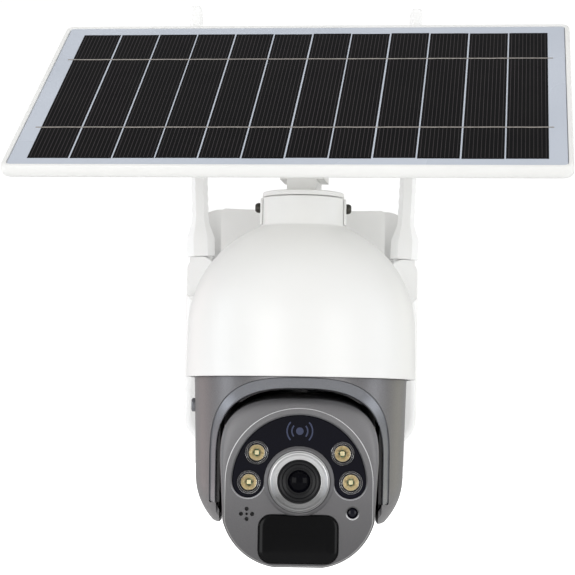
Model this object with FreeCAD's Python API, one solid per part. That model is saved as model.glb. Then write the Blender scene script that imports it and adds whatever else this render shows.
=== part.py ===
"""Solar-powered pan and tilt security camera, modelled as separate pieces.

Working frame: the neck axis is x = 0, y = 0, and z = 0 is the bottom edge of the dome.
x runs to the right, y runs back towards the wall and z runs up, all in millimetres.
save() moves every piece to the row frame, whose origin is the centre of the wall face.
"""
import FreeCAD, Part
import math
import os

Vector = FreeCAD.Vector
X_DIR = Vector(1, 0, 0)
Y_DIR = Vector(0, 1, 0)
Z_DIR = Vector(0, 0, 1)
SIDES = (("left", -1), ("right", 1))

# Placing of the working frame in the row frame
WALL_Y = 124.0                  # wall face, behind the neck axis
MOUNT_Z = 30.25                 # middle of the wall screws over the dome's edge

# General
SKIN = 2.4                      # moulded wall
RUN = 0.06                      # radial clearance of a shaft in its bore
SCREW_R = 1.5

# Wall box
BOX_HALF = 67.0
BOX_TOP = 102.3
BOX_BOTTOM = -38.0
BOX_CORNER = 18.5
TRAY_DEPTH = 5.0
PLATE_DEPTH = 9.0               # whole depth above the ledge
BATTERY_DEPTH = 45.0            # whole depth below the ledge
LEDGE_Z = 49.0
TRAY_Y = WALL_Y - TRAY_DEPTH
PLATE_Y = WALL_Y - PLATE_DEPTH
BATTERY_Y = WALL_Y - BATTERY_DEPTH
WALL_HOLE_X = 30.0
WALL_HOLE_Z = 55.0
WALL_HOLE_R = 2.5
COVER_SCREW_X = 45.0
COVER_SCREW_Z = (-25.0, 38.0)
HOLLOW_CORNER = 1.0
SEAL_GAP = 0.6                  # between the seal and the walls outside it
SEAL_WIDTH = 2.0
CELL_R = 9.2
CELL_LENGTH = 65.0
CELL_PITCH = 19.0
CELL_COUNT = 4
CELL_Y = 100.0
CELL_Z = -30.0

# Arm between the wall box and the dome
ARM_HALF = 46.0
ARM_TOP = 96.0
ARM_CORNER = 2.5
ARM_FRONT = 52.0
ARM_HOLLOW_R = 154.0            # plan radius of the concave front
FLANGE_HALF = 60.0
ARM_SCREW_X = 53.0
ARM_SCREW_Z = (60.0, 88.0)

# Dome and neck
DOME_R = 61.7
DOME_SHOULDER_R = 61.2
DOME_SHOULDER_Z = 26.0
DOME_RISE = 60.0
NECK_R = 22.9
NECK_TOP = 97.0
NECK_SCREW_Z = 92.0
SWIVEL_R = 5.04
CHASSIS_Z = 0.8
CHASSIS_THICK = 2.5
BOSS_RADIUS = 48.0              # circle of the three chassis screws
BOSS_ANGLES = (30, 150, 270)

# Pan drive
HUB_R = 12.0
PAN_MODULE = 0.8
PAN_TEETH = 60
PINION_TEETH = 12
PAN_CENTRES = PAN_MODULE * (PAN_TEETH + PINION_TEETH) / 2

# Yoke
YOKE_R = 57.0
YOKE_LOW_R = 55.6
YOKE_TOP = 0.2
YOKE_LOW_Z = -50.0
YOKE_FOOT_R = 46.0
YOKE_FOOT_Z = -76.0
YOKE_WALL = 2.2
CHEEK_X = 41.8                  # inner face of the cheeks
CHEEK_COVER = 1.5
ARCH_SPRING_Z = -44.0           # where the arches start
ARCH_RISE = 37.9
ARCH_POWER = 2.8                # squareness of the opening; 2 is an ellipse
RIM_INNER = 43.4                # half width inside the trim
RIM_OUTER = 47.2
RIM_RISE = 43.5
RIM_POWER = 3.0
RIM_FOOT_Z = -66.0
CROWN_STEPS = 24
RIM_BACK_Y = -24.0
REAR_WALL_Z = -56.0             # lower edge of the yoke's back

# Head
TILT_Z = -54.0
HEAD_HALF = 41.0
HEAD_R = 46.5
HEAD_CLEAR = 0.8
FACE_Y = -44.0
FACE_R = 38.5
FACE_ARC_Z = -54.4
FACE_SIDE_Z = -75.0
FACE_FLAT = 12.8
# head sections: y, half width on top, half width at the sides' foot, arch foot, rise, squareness, bottom
FACE_SECTION = (FACE_Y, FACE_R, 38.5, FACE_ARC_Z, FACE_R, 2.0, -97.8)
SHOULDER_SECTION = (-40.5, 41.2, 39.3, ARCH_SPRING_Z, 33.0, 3.0, -98.3)
AXIS_SECTION = (0.0, HEAD_HALF, HEAD_HALF, ARCH_SPRING_Z, TILT_Z + HEAD_R - ARCH_SPRING_Z, 3.0,
                TILT_Z - HEAD_R)
AXLE_R = 4.0
TILT_MODULE = 0.6
TILT_TEETH = 40
TILT_CENTRES = TILT_MODULE * (TILT_TEETH + PINION_TEETH) / 2

# Front of the head
WINDOW_INNER = 18.3
WINDOW_OUTER = 34.6
WINDOW_THICK = 2.0
LED_PLACES = ((-22.1, -39.4), (-26.0, -54.7), (22.3, -39.3), (26.8, -54.2))
LED_R = 6.15
BEZEL_R = 18.2
PIR_HALF = 20.5
PIR_TOP = -71.3
PIR_BOTTOM = -96.0
PIR_CORNER = 6.5
MIC_X = -26.8
MIC_Z = -71.0
SENSOR_X = 27.8
SENSOR_Z = -69.8

# Power button
BUTTON_R = 3.7
BUTTON_Z = -15.0

# Solar panel: x runs along it, y up its slope and z out of its face, from a point over the neck
PANEL_SLOPE = 33.5
PANEL_TURN = 6.1
PANEL_Z = 159.6
PANEL_MID_X = -2.1
PANEL_MID_Y = -8.9
FRAME_WIDTH = 291.4
FRAME_DEPTH = 182.2
FRAME_THICK = 8.0
FRAME_LIP = 0.6                 # how far the frame stands over the glass
GLASS_WIDTH = 285.7
GLASS_DEPTH = 176.5
GLASS_THICK = 3.2
CELLS_ACROSS = 12
SOLAR_PITCH = 22.25
SOLAR_LENGTH = 160.0
SOLAR_MID_Y = -9.7
SOLAR_GAP = 0.8
HINGE_Y = 4.0
HINGE_Z = 129.0
POST_HALF = 8.0
FORK_HALF = 12.0
FORK_GAP_HALF = 6.5
EYE_R = 9.0
HINGE_BOLT_R = 3.0

# Antennas
ANTENNA_X = 59.6
ANTENNA_Y = 104.0
ANTENNA_HALF = 8.15
ANTENNA_DEPTH = 11.0
FOLD_Z = 64.5
PADDLE_Z = 73.0
PADDLE_TOP = 222.5
ANTENNA_SPLAY = 2.2
STEM_R = 3.5
FOLD_PIN_R = 1.5


def block(x, y, z):
    """Box between two limits on each axis."""
    return Part.makeBox(x[1] - x[0], y[1] - y[0], z[1] - z[0], Vector(x[0], y[0], z[0]))


def rod(radius, start, direction, length):
    return Part.makeCylinder(radius, length, Vector(*start), direction)


def ring(outer, inner, start, direction, length):
    return rod(outer, start, direction, length).cut(rod(inner, start, direction, length))


def join(shapes):
    """One solid from pieces that touch or overlap."""
    result = shapes[0]
    for shape in shapes[1:]:
        result = result.fuse(shape)
    return result.removeSplitter()


def group(shapes):
    return Part.makeCompound(shapes)


def polygon(points):
    return Part.Face(Part.makePolygon(points + [points[0]]))


def slab(half, low, high, corner, y):
    """Rounded rectangle seen from the front, between two depths."""
    plate = block((-half, half), y, (low, high))
    uprights = [edge for edge in plate.Edges if abs(edge.tangentAt(edge.FirstParameter).y) > 0.99]
    return plate.makeFillet(corner, uprights)


def turned(points, axis_point, axis):
    """Solid of revolution from a closed outline."""
    return polygon(points).revolve(axis_point, axis, 360)


def placed_screw(start, direction, length, head_r=2.9, head_height=2.0):
    """Screw whose head's underside is at start and whose shaft runs along direction."""
    unit = Vector(direction)
    head_start = Vector(*start) - unit * head_height
    shaft = Part.makeCylinder(SCREW_R, length, Vector(*start), unit)
    head = Part.makeCylinder(head_r, head_height, head_start, unit)
    slot_size = head_r * 0.35
    slot = Part.makeCylinder(slot_size, head_height * 0.5, head_start, unit)
    return head.fuse(shaft).cut(slot)


# ---------------------------------------------------------------- gears

def involute_gear(module, teeth, thickness, phase):
    """Spur gear about +Z at the origin; phase turns the middle of one tooth, in degrees."""
    pitch_r = module * teeth / 2
    base_r = pitch_r * math.cos(math.radians(20))
    tip_r = pitch_r + 0.85 * module
    root_r = pitch_r - 1.15 * module
    slack = 0.12 * module
    half_at_pitch = (math.pi * module / 2 - slack) / 2 / pitch_r
    roll_pitch = math.sqrt((pitch_r / base_r) ** 2 - 1)
    half_at_base = half_at_pitch + roll_pitch - math.atan(roll_pitch)
    start_r = max(base_r, root_r + 0.01)
    points = []
    for tooth in range(teeth):
        middle = math.radians(phase) + 2 * math.pi * tooth / teeth
        flank = []
        for step in range(5):
            radius = start_r + (tip_r - start_r) * step / 4
            roll = math.sqrt(max((radius / base_r) ** 2 - 1, 0))
            flank.append((radius, half_at_base - (roll - math.atan(roll))))
        root = (root_r, flank[0][1])
        rising = [root] + flank
        for radius, half in rising:
            points.append(Vector(radius * math.cos(middle - half), radius * math.sin(middle - half), 0))
        for radius, half in reversed(rising):
            points.append(Vector(radius * math.cos(middle + half), radius * math.sin(middle + half), 0))
    return polygon(points).extrude(Vector(0, 0, thickness))


# ---------------------------------------------------------------- wall box

def box_outline(inset, y):
    return slab(BOX_HALF - inset, BOX_BOTTOM + inset, BOX_TOP - inset, BOX_CORNER - inset, y)


def cover_screw_places():
    return [(x, z) for x in (-COVER_SCREW_X, COVER_SCREW_X) for z in COVER_SCREW_Z]


def arm_screw_places():
    return [(x, z) for x in (-ARM_SCREW_X, ARM_SCREW_X) for z in ARM_SCREW_Z]


def wall_tray():
    """Back shell, with the four wall screw holes and the bosses for the other screws."""
    tray = box_outline(0, (TRAY_Y, WALL_Y)).cut(box_outline(SKIN, (TRAY_Y, WALL_Y - SKIN)))
    bosses = [rod(4.0, (x, TRAY_Y, z), Y_DIR, TRAY_DEPTH - SKIN) for x, z in cover_screw_places()]
    tray = join([tray] + bosses)
    for x, z in cover_screw_places():
        tray = tray.cut(rod(SCREW_R, (x, TRAY_Y, z), Y_DIR, TRAY_DEPTH - 1))
    for x, z in arm_screw_places():
        tray = tray.cut(rod(SCREW_R, (x, TRAY_Y, z), Y_DIR, TRAY_DEPTH - 1))
    for x in (-WALL_HOLE_X, WALL_HOLE_X):
        for z in (MOUNT_Z - WALL_HOLE_Z, MOUNT_Z + WALL_HOLE_Z):
            tray = tray.cut(rod(WALL_HOLE_R, (x, TRAY_Y, z), Y_DIR, TRAY_DEPTH))
    return tray


def battery_cover():
    """Front shell: a thin plate above, the battery box below, and a notch for the arm."""
    plate = box_outline(0, (PLATE_Y, TRAY_Y))
    lower = box_outline(0, (BATTERY_Y, PLATE_Y))
    lower = lower.cut(block((-80, 80), (BATTERY_Y - 1, PLATE_Y + 1), (LEDGE_Z, 120)))
    front_edges = [edge for edge in lower.Edges
                   if all(abs(vertex.Y - BATTERY_Y) < 0.01 for vertex in edge.Vertexes)]
    lower = lower.makeFillet(4.0, front_edges)
    cover = join([plate, lower])
    hollow = slab(BOX_HALF - SKIN, BOX_BOTTOM + SKIN, LEDGE_Z - SKIN, HOLLOW_CORNER,
                  (BATTERY_Y + SKIN, TRAY_Y))
    hollow = hollow.common(box_outline(SKIN, (BATTERY_Y + SKIN, TRAY_Y)))
    pocket = box_outline(SKIN, (TRAY_Y - 1.6, TRAY_Y))
    cover = cover.cut(hollow).cut(pocket)
    columns = [rod(4.0, (x, BATTERY_Y + SKIN, z), Y_DIR, BATTERY_DEPTH - SKIN - TRAY_DEPTH)
               for x, z in cover_screw_places()]
    cover = join([cover] + columns)
    for x, z in cover_screw_places():
        cover = cover.cut(rod(SCREW_R + 0.2, (x, BATTERY_Y - 1, z), Y_DIR, BATTERY_DEPTH))
        cover = cover.cut(rod(3.4, (x, BATTERY_Y - 1, z), Y_DIR, 3.2))
    notch = block((-ARM_HALF - 0.5, ARM_HALF + 0.5), (BATTERY_Y - 5, WALL_Y), (LEDGE_Z + 0.6, 120))
    cover = cover.cut(notch)
    for side, sign in SIDES:
        socket = rod(STEM_R + RUN, (sign * ANTENNA_X, ANTENNA_Y, LEDGE_Z - 8), Z_DIR, 10)
        cover = cover.cut(socket)
    gland_hole = rod(5.0, (25, CELL_Y, BOX_BOTTOM - 1), Z_DIR, SKIN + 2)
    return cover.cut(gland_hole)


def box_seal():
    """Rubber cord in the split between the tray and the cover, inside the battery box."""
    outside = SKIN + SEAL_GAP
    inside = outside + SEAL_WIDTH
    outer = box_outline(outside, (TRAY_Y - 1.5, TRAY_Y + 1.0))
    inner = box_outline(inside, (TRAY_Y - 2, TRAY_Y + 2))
    above = block((-80, 80), (TRAY_Y - 3, TRAY_Y + 3), (LEDGE_Z - outside, 120))
    inner_above = block((-80, 80), (TRAY_Y - 3, TRAY_Y + 3), (LEDGE_Z - inside, 120))
    return outer.cut(above).cut(inner.cut(inner_above))


def cell_x(index):
    return (index - (CELL_COUNT - 1) / 2) * CELL_PITCH


def battery_cells():
    cells = []
    for index in range(CELL_COUNT):
        body = rod(CELL_R, (cell_x(index), CELL_Y, CELL_Z), Z_DIR, CELL_LENGTH - 1.5)
        cap = rod(3.0, (cell_x(index), CELL_Y, CELL_Z + CELL_LENGTH - 1.5), Z_DIR, 1.5)
        cells.append(body.fuse(cap))
    return group(cells)


def battery_holder():
    """Cradle with a back plate and two ends that carry the contacts."""
    half = CELL_COUNT * CELL_PITCH / 2 + 1.5
    top = CELL_Z + CELL_LENGTH
    back = block((-half, half), (CELL_Y + CELL_R + 0.4, CELL_Y + CELL_R + 3), (CELL_Z - 3, top + 3))
    low_end = block((-half, half), (CELL_Y - 8, CELL_Y + CELL_R + 3), (CELL_Z - 3, CELL_Z - 0.2))
    top_end = block((-half, half), (CELL_Y - 8, CELL_Y + CELL_R + 3), (top + 0.2, top + 3))
    return join([back, low_end, top_end])


def charge_board():
    """Solar charging board in front of the cells."""
    board = block((-30, 30), (84.6, 86.2), (-10, 25))
    parts = [board]
    for x, z, width, height, depth in ((-18, 12, 9, 9, 1.8), (2, 14, 6, 6, 1.6), (16, 0, 10, 8, 2.2)):
        parts.append(block((x, x + width), (84.6 - depth, 84.7), (z - height / 2, z + height / 2)))
    return join(parts)


def cable_gland():
    """Gland under the battery box for the lead from the solar panel."""
    place = (25, CELL_Y, BOX_BOTTOM - 7)
    body = join([rod(6.5, place, Z_DIR, 7), rod(4.9, place, Z_DIR, 12)])
    return body.cut(rod(2.6, place, Z_DIR, 12))


# ---------------------------------------------------------------- arm and dome

def dome_outline(grow):
    """Solid inside the dome and neck; grow moves its surface out, or in when negative."""
    top = NECK_TOP + grow
    neck = NECK_R + grow
    shoulder = DOME_SHOULDER_R + grow
    rise = DOME_RISE + grow
    end = math.acos(neck / shoulder)
    ellipse = Part.Ellipse(Vector(shoulder, 0, DOME_SHOULDER_Z), Vector(0, 0, DOME_SHOULDER_Z + rise),
                           Vector(0, 0, DOME_SHOULDER_Z))
    curve = Part.ArcOfEllipse(ellipse, 0, end).toShape()
    neck_start = Vector(neck, 0, DOME_SHOULDER_Z + rise * math.sin(end))
    foot = Vector(DOME_R + grow, 0, 0)
    edges = [
        Part.makeLine(Vector(0, 0, 0), foot),
        Part.makeLine(foot, Vector(shoulder, 0, DOME_SHOULDER_Z)),
        curve,
        Part.makeLine(neck_start, Vector(neck, 0, top)),
        Part.makeLine(Vector(neck, 0, top), Vector(0, 0, top)),
        Part.makeLine(Vector(0, 0, top), Vector(0, 0, 0)),
    ]
    return Part.Face(Part.Wire(edges)).revolve(Vector(0, 0, 0), Z_DIR, 360)


def boss_places():
    return [(BOSS_RADIUS * math.cos(math.radians(angle)), BOSS_RADIUS * math.sin(math.radians(angle)))
            for angle in BOSS_ANGLES]


def dome_shell():
    outer = dome_outline(0)
    shell = outer.cut(dome_outline(-SKIN))
    chassis_top = CHASSIS_Z + CHASSIS_THICK
    bosses = [rod(4.0, (x, y, chassis_top), Z_DIR, 60).common(outer) for x, y in boss_places()]
    shell = join([shell] + bosses)
    for x, y in boss_places():
        shell = shell.cut(rod(SCREW_R, (x, y, chassis_top - 1), Z_DIR, 12))
    shell = shell.cut(rod(SWIVEL_R + RUN, (0, 0, NECK_TOP - 4), Z_DIR, 8))
    for side, sign in SIDES:
        shell = shell.cut(rod(SCREW_R + 0.1, (sign * 15, 0, NECK_SCREW_Z), Vector(sign, 0, 0), 12))
    return shell


def neck_insert():
    """Block inside the neck that carries the swivel bolt."""
    insert = ring(NECK_R - SKIN - 0.1, SWIVEL_R + RUN, (0, 0, 84), Z_DIR, 10)
    for side, sign in SIDES:
        insert = insert.cut(rod(SCREW_R, (sign * 10, 0, NECK_SCREW_Z), Vector(sign, 0, 0), 15))
    return insert.cut(block((-30, 30), (-30, 30), (94, 100)))


def neck_screws():
    return group([placed_screw((sign * (NECK_R + 0.1), 0, NECK_SCREW_Z), Vector(-sign, 0, 0), 9,
                               head_r=2.75, head_height=3.0) for side, sign in SIDES])


def arm_bracket():
    """Hollow arm with a saddle round the dome, a bridge to the neck and a flange on the tray."""
    body = block((-ARM_HALF, ARM_HALF), (30, TRAY_Y), (LEDGE_Z + 1.2, ARM_TOP))
    top_edges = [edge for edge in body.Edges
                 if all(abs(vertex.Z - ARM_TOP) < 0.01 for vertex in edge.Vertexes)
                 and abs(edge.tangentAt(edge.FirstParameter).y) > 0.99]
    body = body.makeFillet(ARM_CORNER, top_edges)
    scoop = rod(ARM_HOLLOW_R, (0, ARM_FRONT - ARM_HOLLOW_R, 0), Z_DIR, 120)
    body = body.cut(scoop)
    bridge = block((-16, 16), (12, ARM_FRONT + 4), (84, ARM_TOP - 1.5))
    flange = block((-FLANGE_HALF, FLANGE_HALF), (TRAY_Y - 0.6, TRAY_Y + 2.4), (LEDGE_Z + 1.2, ARM_TOP))
    flange = flange.common(box_outline(SKIN + 0.4, (TRAY_Y - 1, WALL_Y)))
    arm = join([body, bridge, flange])
    arm = arm.cut(dome_outline(0.25).common(block((-70, 70), (-70, 70), (-1, 120))))
    hollow = block((-ARM_HALF + 3, ARM_HALF - 3), (ARM_FRONT + 14, TRAY_Y + 3), (LEDGE_Z + 4.2, ARM_TOP - 3))
    arm = arm.cut(hollow)
    for x, z in arm_screw_places():
        arm = arm.cut(rod(SCREW_R + 0.2, (x, TRAY_Y - 2, z), Y_DIR, 6))
    return arm


def dome_chassis():
    """Plate that closes the dome, with posts for the main board."""
    top = CHASSIS_Z + CHASSIS_THICK
    plate = rod(DOME_R - SKIN - 0.5, (0, 0, CHASSIS_Z), Z_DIR, CHASSIS_THICK)
    plate = plate.cut(rod(HUB_R + 4.5, (0, 0, CHASSIS_Z), Z_DIR, CHASSIS_THICK))
    posts = [rod(2.5, (x, y, top - 0.5), Z_DIR, 30.5) for x in (-28, 28) for y in (-20, 20)]
    plate = join([plate] + posts)
    for x, y in boss_places():
        plate = plate.cut(rod(SCREW_R + 0.2, (x, y, 0), Z_DIR, 5))
    return plate


def housing_screws():
    """Screws of the battery cover, the arm and the chassis."""
    cover = [placed_screw((x, BATTERY_Y + 2.2, z), Y_DIR, 40) for x, z in cover_screw_places()]
    arm = [placed_screw((x, TRAY_Y - 0.6, z), Y_DIR, 4.4, head_r=2.6, head_height=1.0)
           for x, z in arm_screw_places()]
    chassis = [placed_screw((x, y, CHASSIS_Z), Z_DIR, 9, head_height=0.4) for x, y in boss_places()]
    return group(cover + arm + chassis)


def main_board():
    board = block((-32, 32), (-24, 24), (33.3, 34.9))
    chips = [block((-10, 4), (-8, 6), (34.8, 36.4)), block((12, 22), (-16, -6), (34.8, 36.2)),
             block((-26, -14), (8, 18), (34.8, 38.0))]
    return join([board] + chips)


def pan_bearing():
    low = ring(HUB_R + 4.5, HUB_R + RUN, (0, 0, 0.3), Z_DIR, 4.0)
    collar = ring(HUB_R + 6.5, HUB_R + RUN, (0, 0, 3.3), Z_DIR, 1.8)
    return join([low, collar])


def pan_motor():
    """Stepper on two legs, with its shaft pointing down into the pinion."""
    centre = (0, PAN_CENTRES)
    can = rod(10.0, (centre[0], centre[1], 13), Z_DIR, 13)
    plate = block((-17, 17), (centre[1] - 4, centre[1] + 4), (12, 13.2))
    legs = [rod(2.5, (x, centre[1], 3.3), Z_DIR, 9) for x in (-14.5, 14.5)]
    return join([can, plate] + legs).cut(rod(1.0 + RUN, (centre[0], centre[1], 11), Z_DIR, 6))


def pan_pinion():
    pinion = involute_gear(PAN_MODULE, PINION_TEETH, 5.2, 90 + 180 / PINION_TEETH)
    pinion = pinion.fuse(rod(1.0, (0, 0, 5), Z_DIR, 5))
    pinion.translate(Vector(0, PAN_CENTRES, 5.4))
    return pinion


# ---------------------------------------------------------------- yoke

def yoke_body(inset):
    """Solid of the yoke's outside, moved in by inset."""
    low = Vector(YOKE_LOW_R - inset, 0, YOKE_LOW_Z)
    foot = Vector(YOKE_FOOT_R - inset, 0, YOKE_FOOT_Z + inset)
    bulge = Vector(52.2 - inset, 0, -66.0 + inset * 0.5)
    top = YOKE_TOP - inset
    edges = [
        Part.makeLine(Vector(0, 0, top), Vector(YOKE_R - inset, 0, top)),
        Part.makeLine(Vector(YOKE_R - inset, 0, top), low),
        Part.Arc(low, bulge, foot).toShape(),
        Part.makeLine(foot, Vector(0, 0, YOKE_FOOT_Z + inset)),
        Part.makeLine(Vector(0, 0, YOKE_FOOT_Z + inset), Vector(0, 0, top)),
    ]
    return Part.Face(Part.Wire(edges)).revolve(Vector(0, 0, 0), Z_DIR, 360)


def crown(half, spring_z, rise, power, y):
    """Edge over the top of an opening, from right to left: half an ellipse, squared by power."""
    points = []
    for index in range(CROWN_STEPS + 1):
        angle = math.pi * index / CROWN_STEPS
        across = math.copysign(abs(math.cos(angle)) ** (2 / power), math.cos(angle))
        points.append(Vector(half * across, y, spring_z + rise * abs(math.sin(angle)) ** (2 / power)))
    curve = Part.BSplineCurve()
    curve.interpolate(Points=points, InitialTangent=Z_DIR, FinalTangent=-Z_DIR)
    return curve.toShape()


def arch(half, rise, power, y, foot=-95.0):
    """Arched prism seen from the front: straight legs under a crown."""
    edges = [
        crown(half, ARCH_SPRING_Z, rise, power, y[0]),
        Part.makeLine(Vector(-half, y[0], ARCH_SPRING_Z), Vector(-half, y[0], foot)),
        Part.makeLine(Vector(-half, y[0], foot), Vector(half, y[0], foot)),
        Part.makeLine(Vector(half, y[0], foot), Vector(half, y[0], ARCH_SPRING_Z)),
    ]
    return Part.Face(Part.Wire(edges)).extrude(Vector(0, y[1] - y[0], 0))


def without_head_space(shape):
    """The shape less the room that the head turns in."""
    drum = rod(HEAD_R + HEAD_CLEAR, (-CHEEK_X, 0, TILT_Z), X_DIR, 2 * CHEEK_X)
    below = block((-CHEEK_X, CHEEK_X), (-60, 60), (-95, REAR_WALL_Z))
    return shape.cut(arch(CHEEK_X, ARCH_RISE, ARCH_POWER, (-65, 0))).cut(drum).cut(below)


def cheek_pocket(x):
    """Hollow of one cheek between two distances from the middle, given with their sign."""
    limits = block((min(x), max(x)), (-60, 60), (-72, -6))
    return yoke_body(YOKE_WALL).common(limits)


def rim_space():
    return arch(RIM_OUTER, RIM_RISE, RIM_POWER, (-65, RIM_BACK_Y), RIM_FOOT_Z)


def yoke_shell():
    shell = without_head_space(yoke_body(0)).cut(rim_space())
    for side, sign in SIDES:
        shell = shell.cut(cheek_pocket((sign * CHEEK_X, sign * 60)))
    shell = shell.cut(rod(HUB_R, (0, 0, -8), Z_DIR, 10))
    shell = shell.cut(rod(17.0, (0, 0, -3), Z_DIR, 5))
    shell = shell.cut(rod(BUTTON_R + 0.3, (-62, 0, BUTTON_Z), X_DIR, 10))
    for y, z in ((0, -46), (4, -46), (-4, -46), (0, -42), (0, -50)):
        shell = shell.cut(rod(0.9, (-60, y, z), X_DIR, 8))
    return shell


def yoke_bezel():
    """Trim round the front opening, a little behind the yoke's outside."""
    trim = yoke_body(0.8).common(rim_space())
    return without_head_space(trim.cut(arch(RIM_INNER, ARCH_RISE, ARCH_POWER, (-66, 0))))


def cheek_covers():
    """Inner covers of the two cheeks, each with a hole for a bush."""
    covers = []
    for side, sign in SIDES:
        cover = cheek_pocket((sign * CHEEK_X, sign * (CHEEK_X + CHEEK_COVER))).cut(rim_space())
        covers.append(cover.cut(rod(AXLE_R + 2, (sign * 40, 0, TILT_Z), Vector(sign, 0, 0), 6)))
    return group(covers)


def tilt_bushes():
    bushes = []
    for side, sign in SIDES:
        start = (sign * CHEEK_X, 0, TILT_Z)
        bushes.append(ring(AXLE_R + 2, AXLE_R + RUN, start, Vector(sign, 0, 0), CHEEK_COVER))
    return group(bushes)


def pan_hub():
    hub = join([rod(HUB_R, (0, 0, -6), Z_DIR, 16.5), rod(17.0, (0, 0, -3), Z_DIR, 2)])
    return hub.cut(rod(8.0, (0, 0, -6), Z_DIR, 17))


def pan_gear():
    gear = involute_gear(PAN_MODULE, PAN_TEETH, 4.0, 90)
    gear.translate(Vector(0, 0, 5.9))
    return gear.cut(rod(HUB_R, (0, 0, 5), Z_DIR, 6))


def tilt_motor():
    """Flat stepper in the right cheek."""
    z = TILT_Z + TILT_CENTRES
    can = rod(8.5, (47.0, 0, z), X_DIR, 5.0)
    return can.cut(rod(1.0 + RUN, (46, 0, z), X_DIR, 3.2))


def tilt_pinion():
    pinion = involute_gear(TILT_MODULE, PINION_TEETH, 2.6, 180 + 180 / PINION_TEETH)
    pinion = pinion.fuse(rod(1.0, (0, 0, 2.5), Z_DIR, 2.5))
    pinion.rotate(Vector(0, 0, 0), Y_DIR, 90)
    pinion.translate(Vector(CHEEK_X + CHEEK_COVER + 0.4, 0, TILT_Z + TILT_CENTRES))
    return pinion


def speaker():
    magnet = rod(5.0, (-48.5, 0, -46), X_DIR, 1.6)
    cone = rod(8.0, (-52.0, 0, -46), X_DIR, 3.6)
    return join([magnet, cone])


def button_switch():
    board = block((-48, -46.4), (-7, 7), (-23, -8))
    body = block((-50.6, -48), (-3, 3), (BUTTON_Z - 3, BUTTON_Z + 3))
    plunger = rod(1.2, (-51.4, 0, BUTTON_Z), X_DIR, 1.0)
    return join([board, body, plunger])


def power_button():
    cap = rod(BUTTON_R, (-58.6, 0, BUTTON_Z), X_DIR, 5.0)
    flange = rod(BUTTON_R + 1.0, (-53.7, 0, BUTTON_Z), X_DIR, 1.0)
    cap_edge = [edge for edge in cap.Edges if all(abs(vertex.X + 58.6) < 0.01 for vertex in edge.Vertexes)]
    return join([cap.makeFillet(0.6, cap_edge), flange])


# ---------------------------------------------------------------- head

def head_wire(section, inset):
    """Outline of the head at one depth: a crown, tapering sides and rounded lower corners."""
    y, half, foot_half, arch_z, rise, power, bottom = section
    width = half - inset
    foot_width = foot_half - inset
    floor = bottom + inset
    side = Vector(foot_width, y, FACE_SIDE_Z)
    foot = Vector(FACE_FLAT, y, floor)
    mid = Vector(foot_width * 0.797, y, FACE_SIDE_Z + (floor - FACE_SIDE_Z) * 0.592)

    def mirrored(point):
        return Vector(-point.x, point.y, point.z)

    edges = [
        crown(width, arch_z, rise - inset, power, y),
        Part.makeLine(Vector(-width, y, arch_z), mirrored(side)),
        Part.Arc(mirrored(side), mirrored(mid), mirrored(foot)).toShape(),
        Part.makeLine(mirrored(foot), foot),
        Part.Arc(foot, mid, side).toShape(),
        Part.makeLine(side, Vector(width, y, arch_z)),
    ]
    return Part.Wire(edges)


def front_body(inset, face_inset):
    """Front half of the head: flat face, a shoulder close behind it, and back to the tilt axis."""
    face = head_wire((FACE_Y + face_inset,) + FACE_SECTION[1:], inset)
    shoulder = head_wire((SHOULDER_SECTION[0] + face_inset,) + SHOULDER_SECTION[1:], inset)
    return Part.makeLoft([face, shoulder, head_wire(AXIS_SECTION, inset)], True, True)


def rear_body(inset):
    """Rear half of the head: the same outline, rounded about the tilt axis."""
    outline = Part.Face(head_wire(AXIS_SECTION, inset))
    drum = rod(HEAD_R - inset, (-50, 0, TILT_Z), X_DIR, 100)
    return outline.extrude(Vector(0, 50, 0)).common(drum)


def window_outline(grow, y):
    """Crescent above the lens with round ends, between two depths."""
    centre = (0, y[0], TILT_Z - 0.4)
    middle_r = (WINDOW_INNER + WINDOW_OUTER) / 2
    end_r = (WINDOW_OUTER - WINDOW_INNER) / 2 + grow
    depth = y[1] - y[0]
    band = ring(WINDOW_OUTER + grow, WINDOW_INNER - grow, centre, Y_DIR, depth)
    band = band.common(block((-60, 60), (y[0] - 1, y[1] + 1), (centre[2], 0)))
    ends = [rod(end_r, (sign * middle_r, y[0], centre[2]), Y_DIR, depth) for side, sign in SIDES]
    return join([band] + ends)


def pir_outline(grow, y):
    return slab(PIR_HALF + grow, PIR_BOTTOM - grow, PIR_TOP + grow, PIR_CORNER + grow, y)


def mic_places():
    steps = ((0, 0), (-2.9, 0), (2.9, 0), (0, -2.6), (0, 2.6))
    return [(MIC_X + x, MIC_Z + z) for x, z in steps]


def head_screw_places():
    return [(x, z) for x in (-22, 22) for z in (TILT_Z - 24, TILT_Z + 24)]


def head_front():
    shell = front_body(0, 0).cut(front_body(SKIN, SKIN))
    shell = shell.cut(window_outline(0.1, (FACE_Y - 1, FACE_Y + 5)))
    shell = shell.cut(pir_outline(0.1, (FACE_Y - 1, FACE_Y + 5)))
    shell = shell.cut(rod(16.0, (0, FACE_Y - 1, TILT_Z), Y_DIR, 6))
    shell = shell.cut(rod(2.9, (SENSOR_X, FACE_Y - 1, SENSOR_Z), Y_DIR, 6))
    for x, z in mic_places():
        shell = shell.cut(rod(0.75, (x, FACE_Y - 1, z), Y_DIR, 6))
    return shell.cut(rod(AXLE_R, (-50, 0, TILT_Z), X_DIR, 100))


def head_rear():
    shell = rear_body(0).cut(rear_body(SKIN))
    bosses = [rod(4.2, (x, 0.2, z), Y_DIR, 60).common(rear_body(0)) for x, z in head_screw_places()]
    shell = join([shell] + bosses)
    for x, z in head_screw_places():
        shell = shell.cut(rod(SCREW_R + 0.1, (x, -1, z), Y_DIR, 60))
        shell = shell.cut(rod(3.1, (x, 16, z), Y_DIR, 60))
    return shell.cut(rod(AXLE_R, (-50, 0, TILT_Z), X_DIR, 100))


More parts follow.
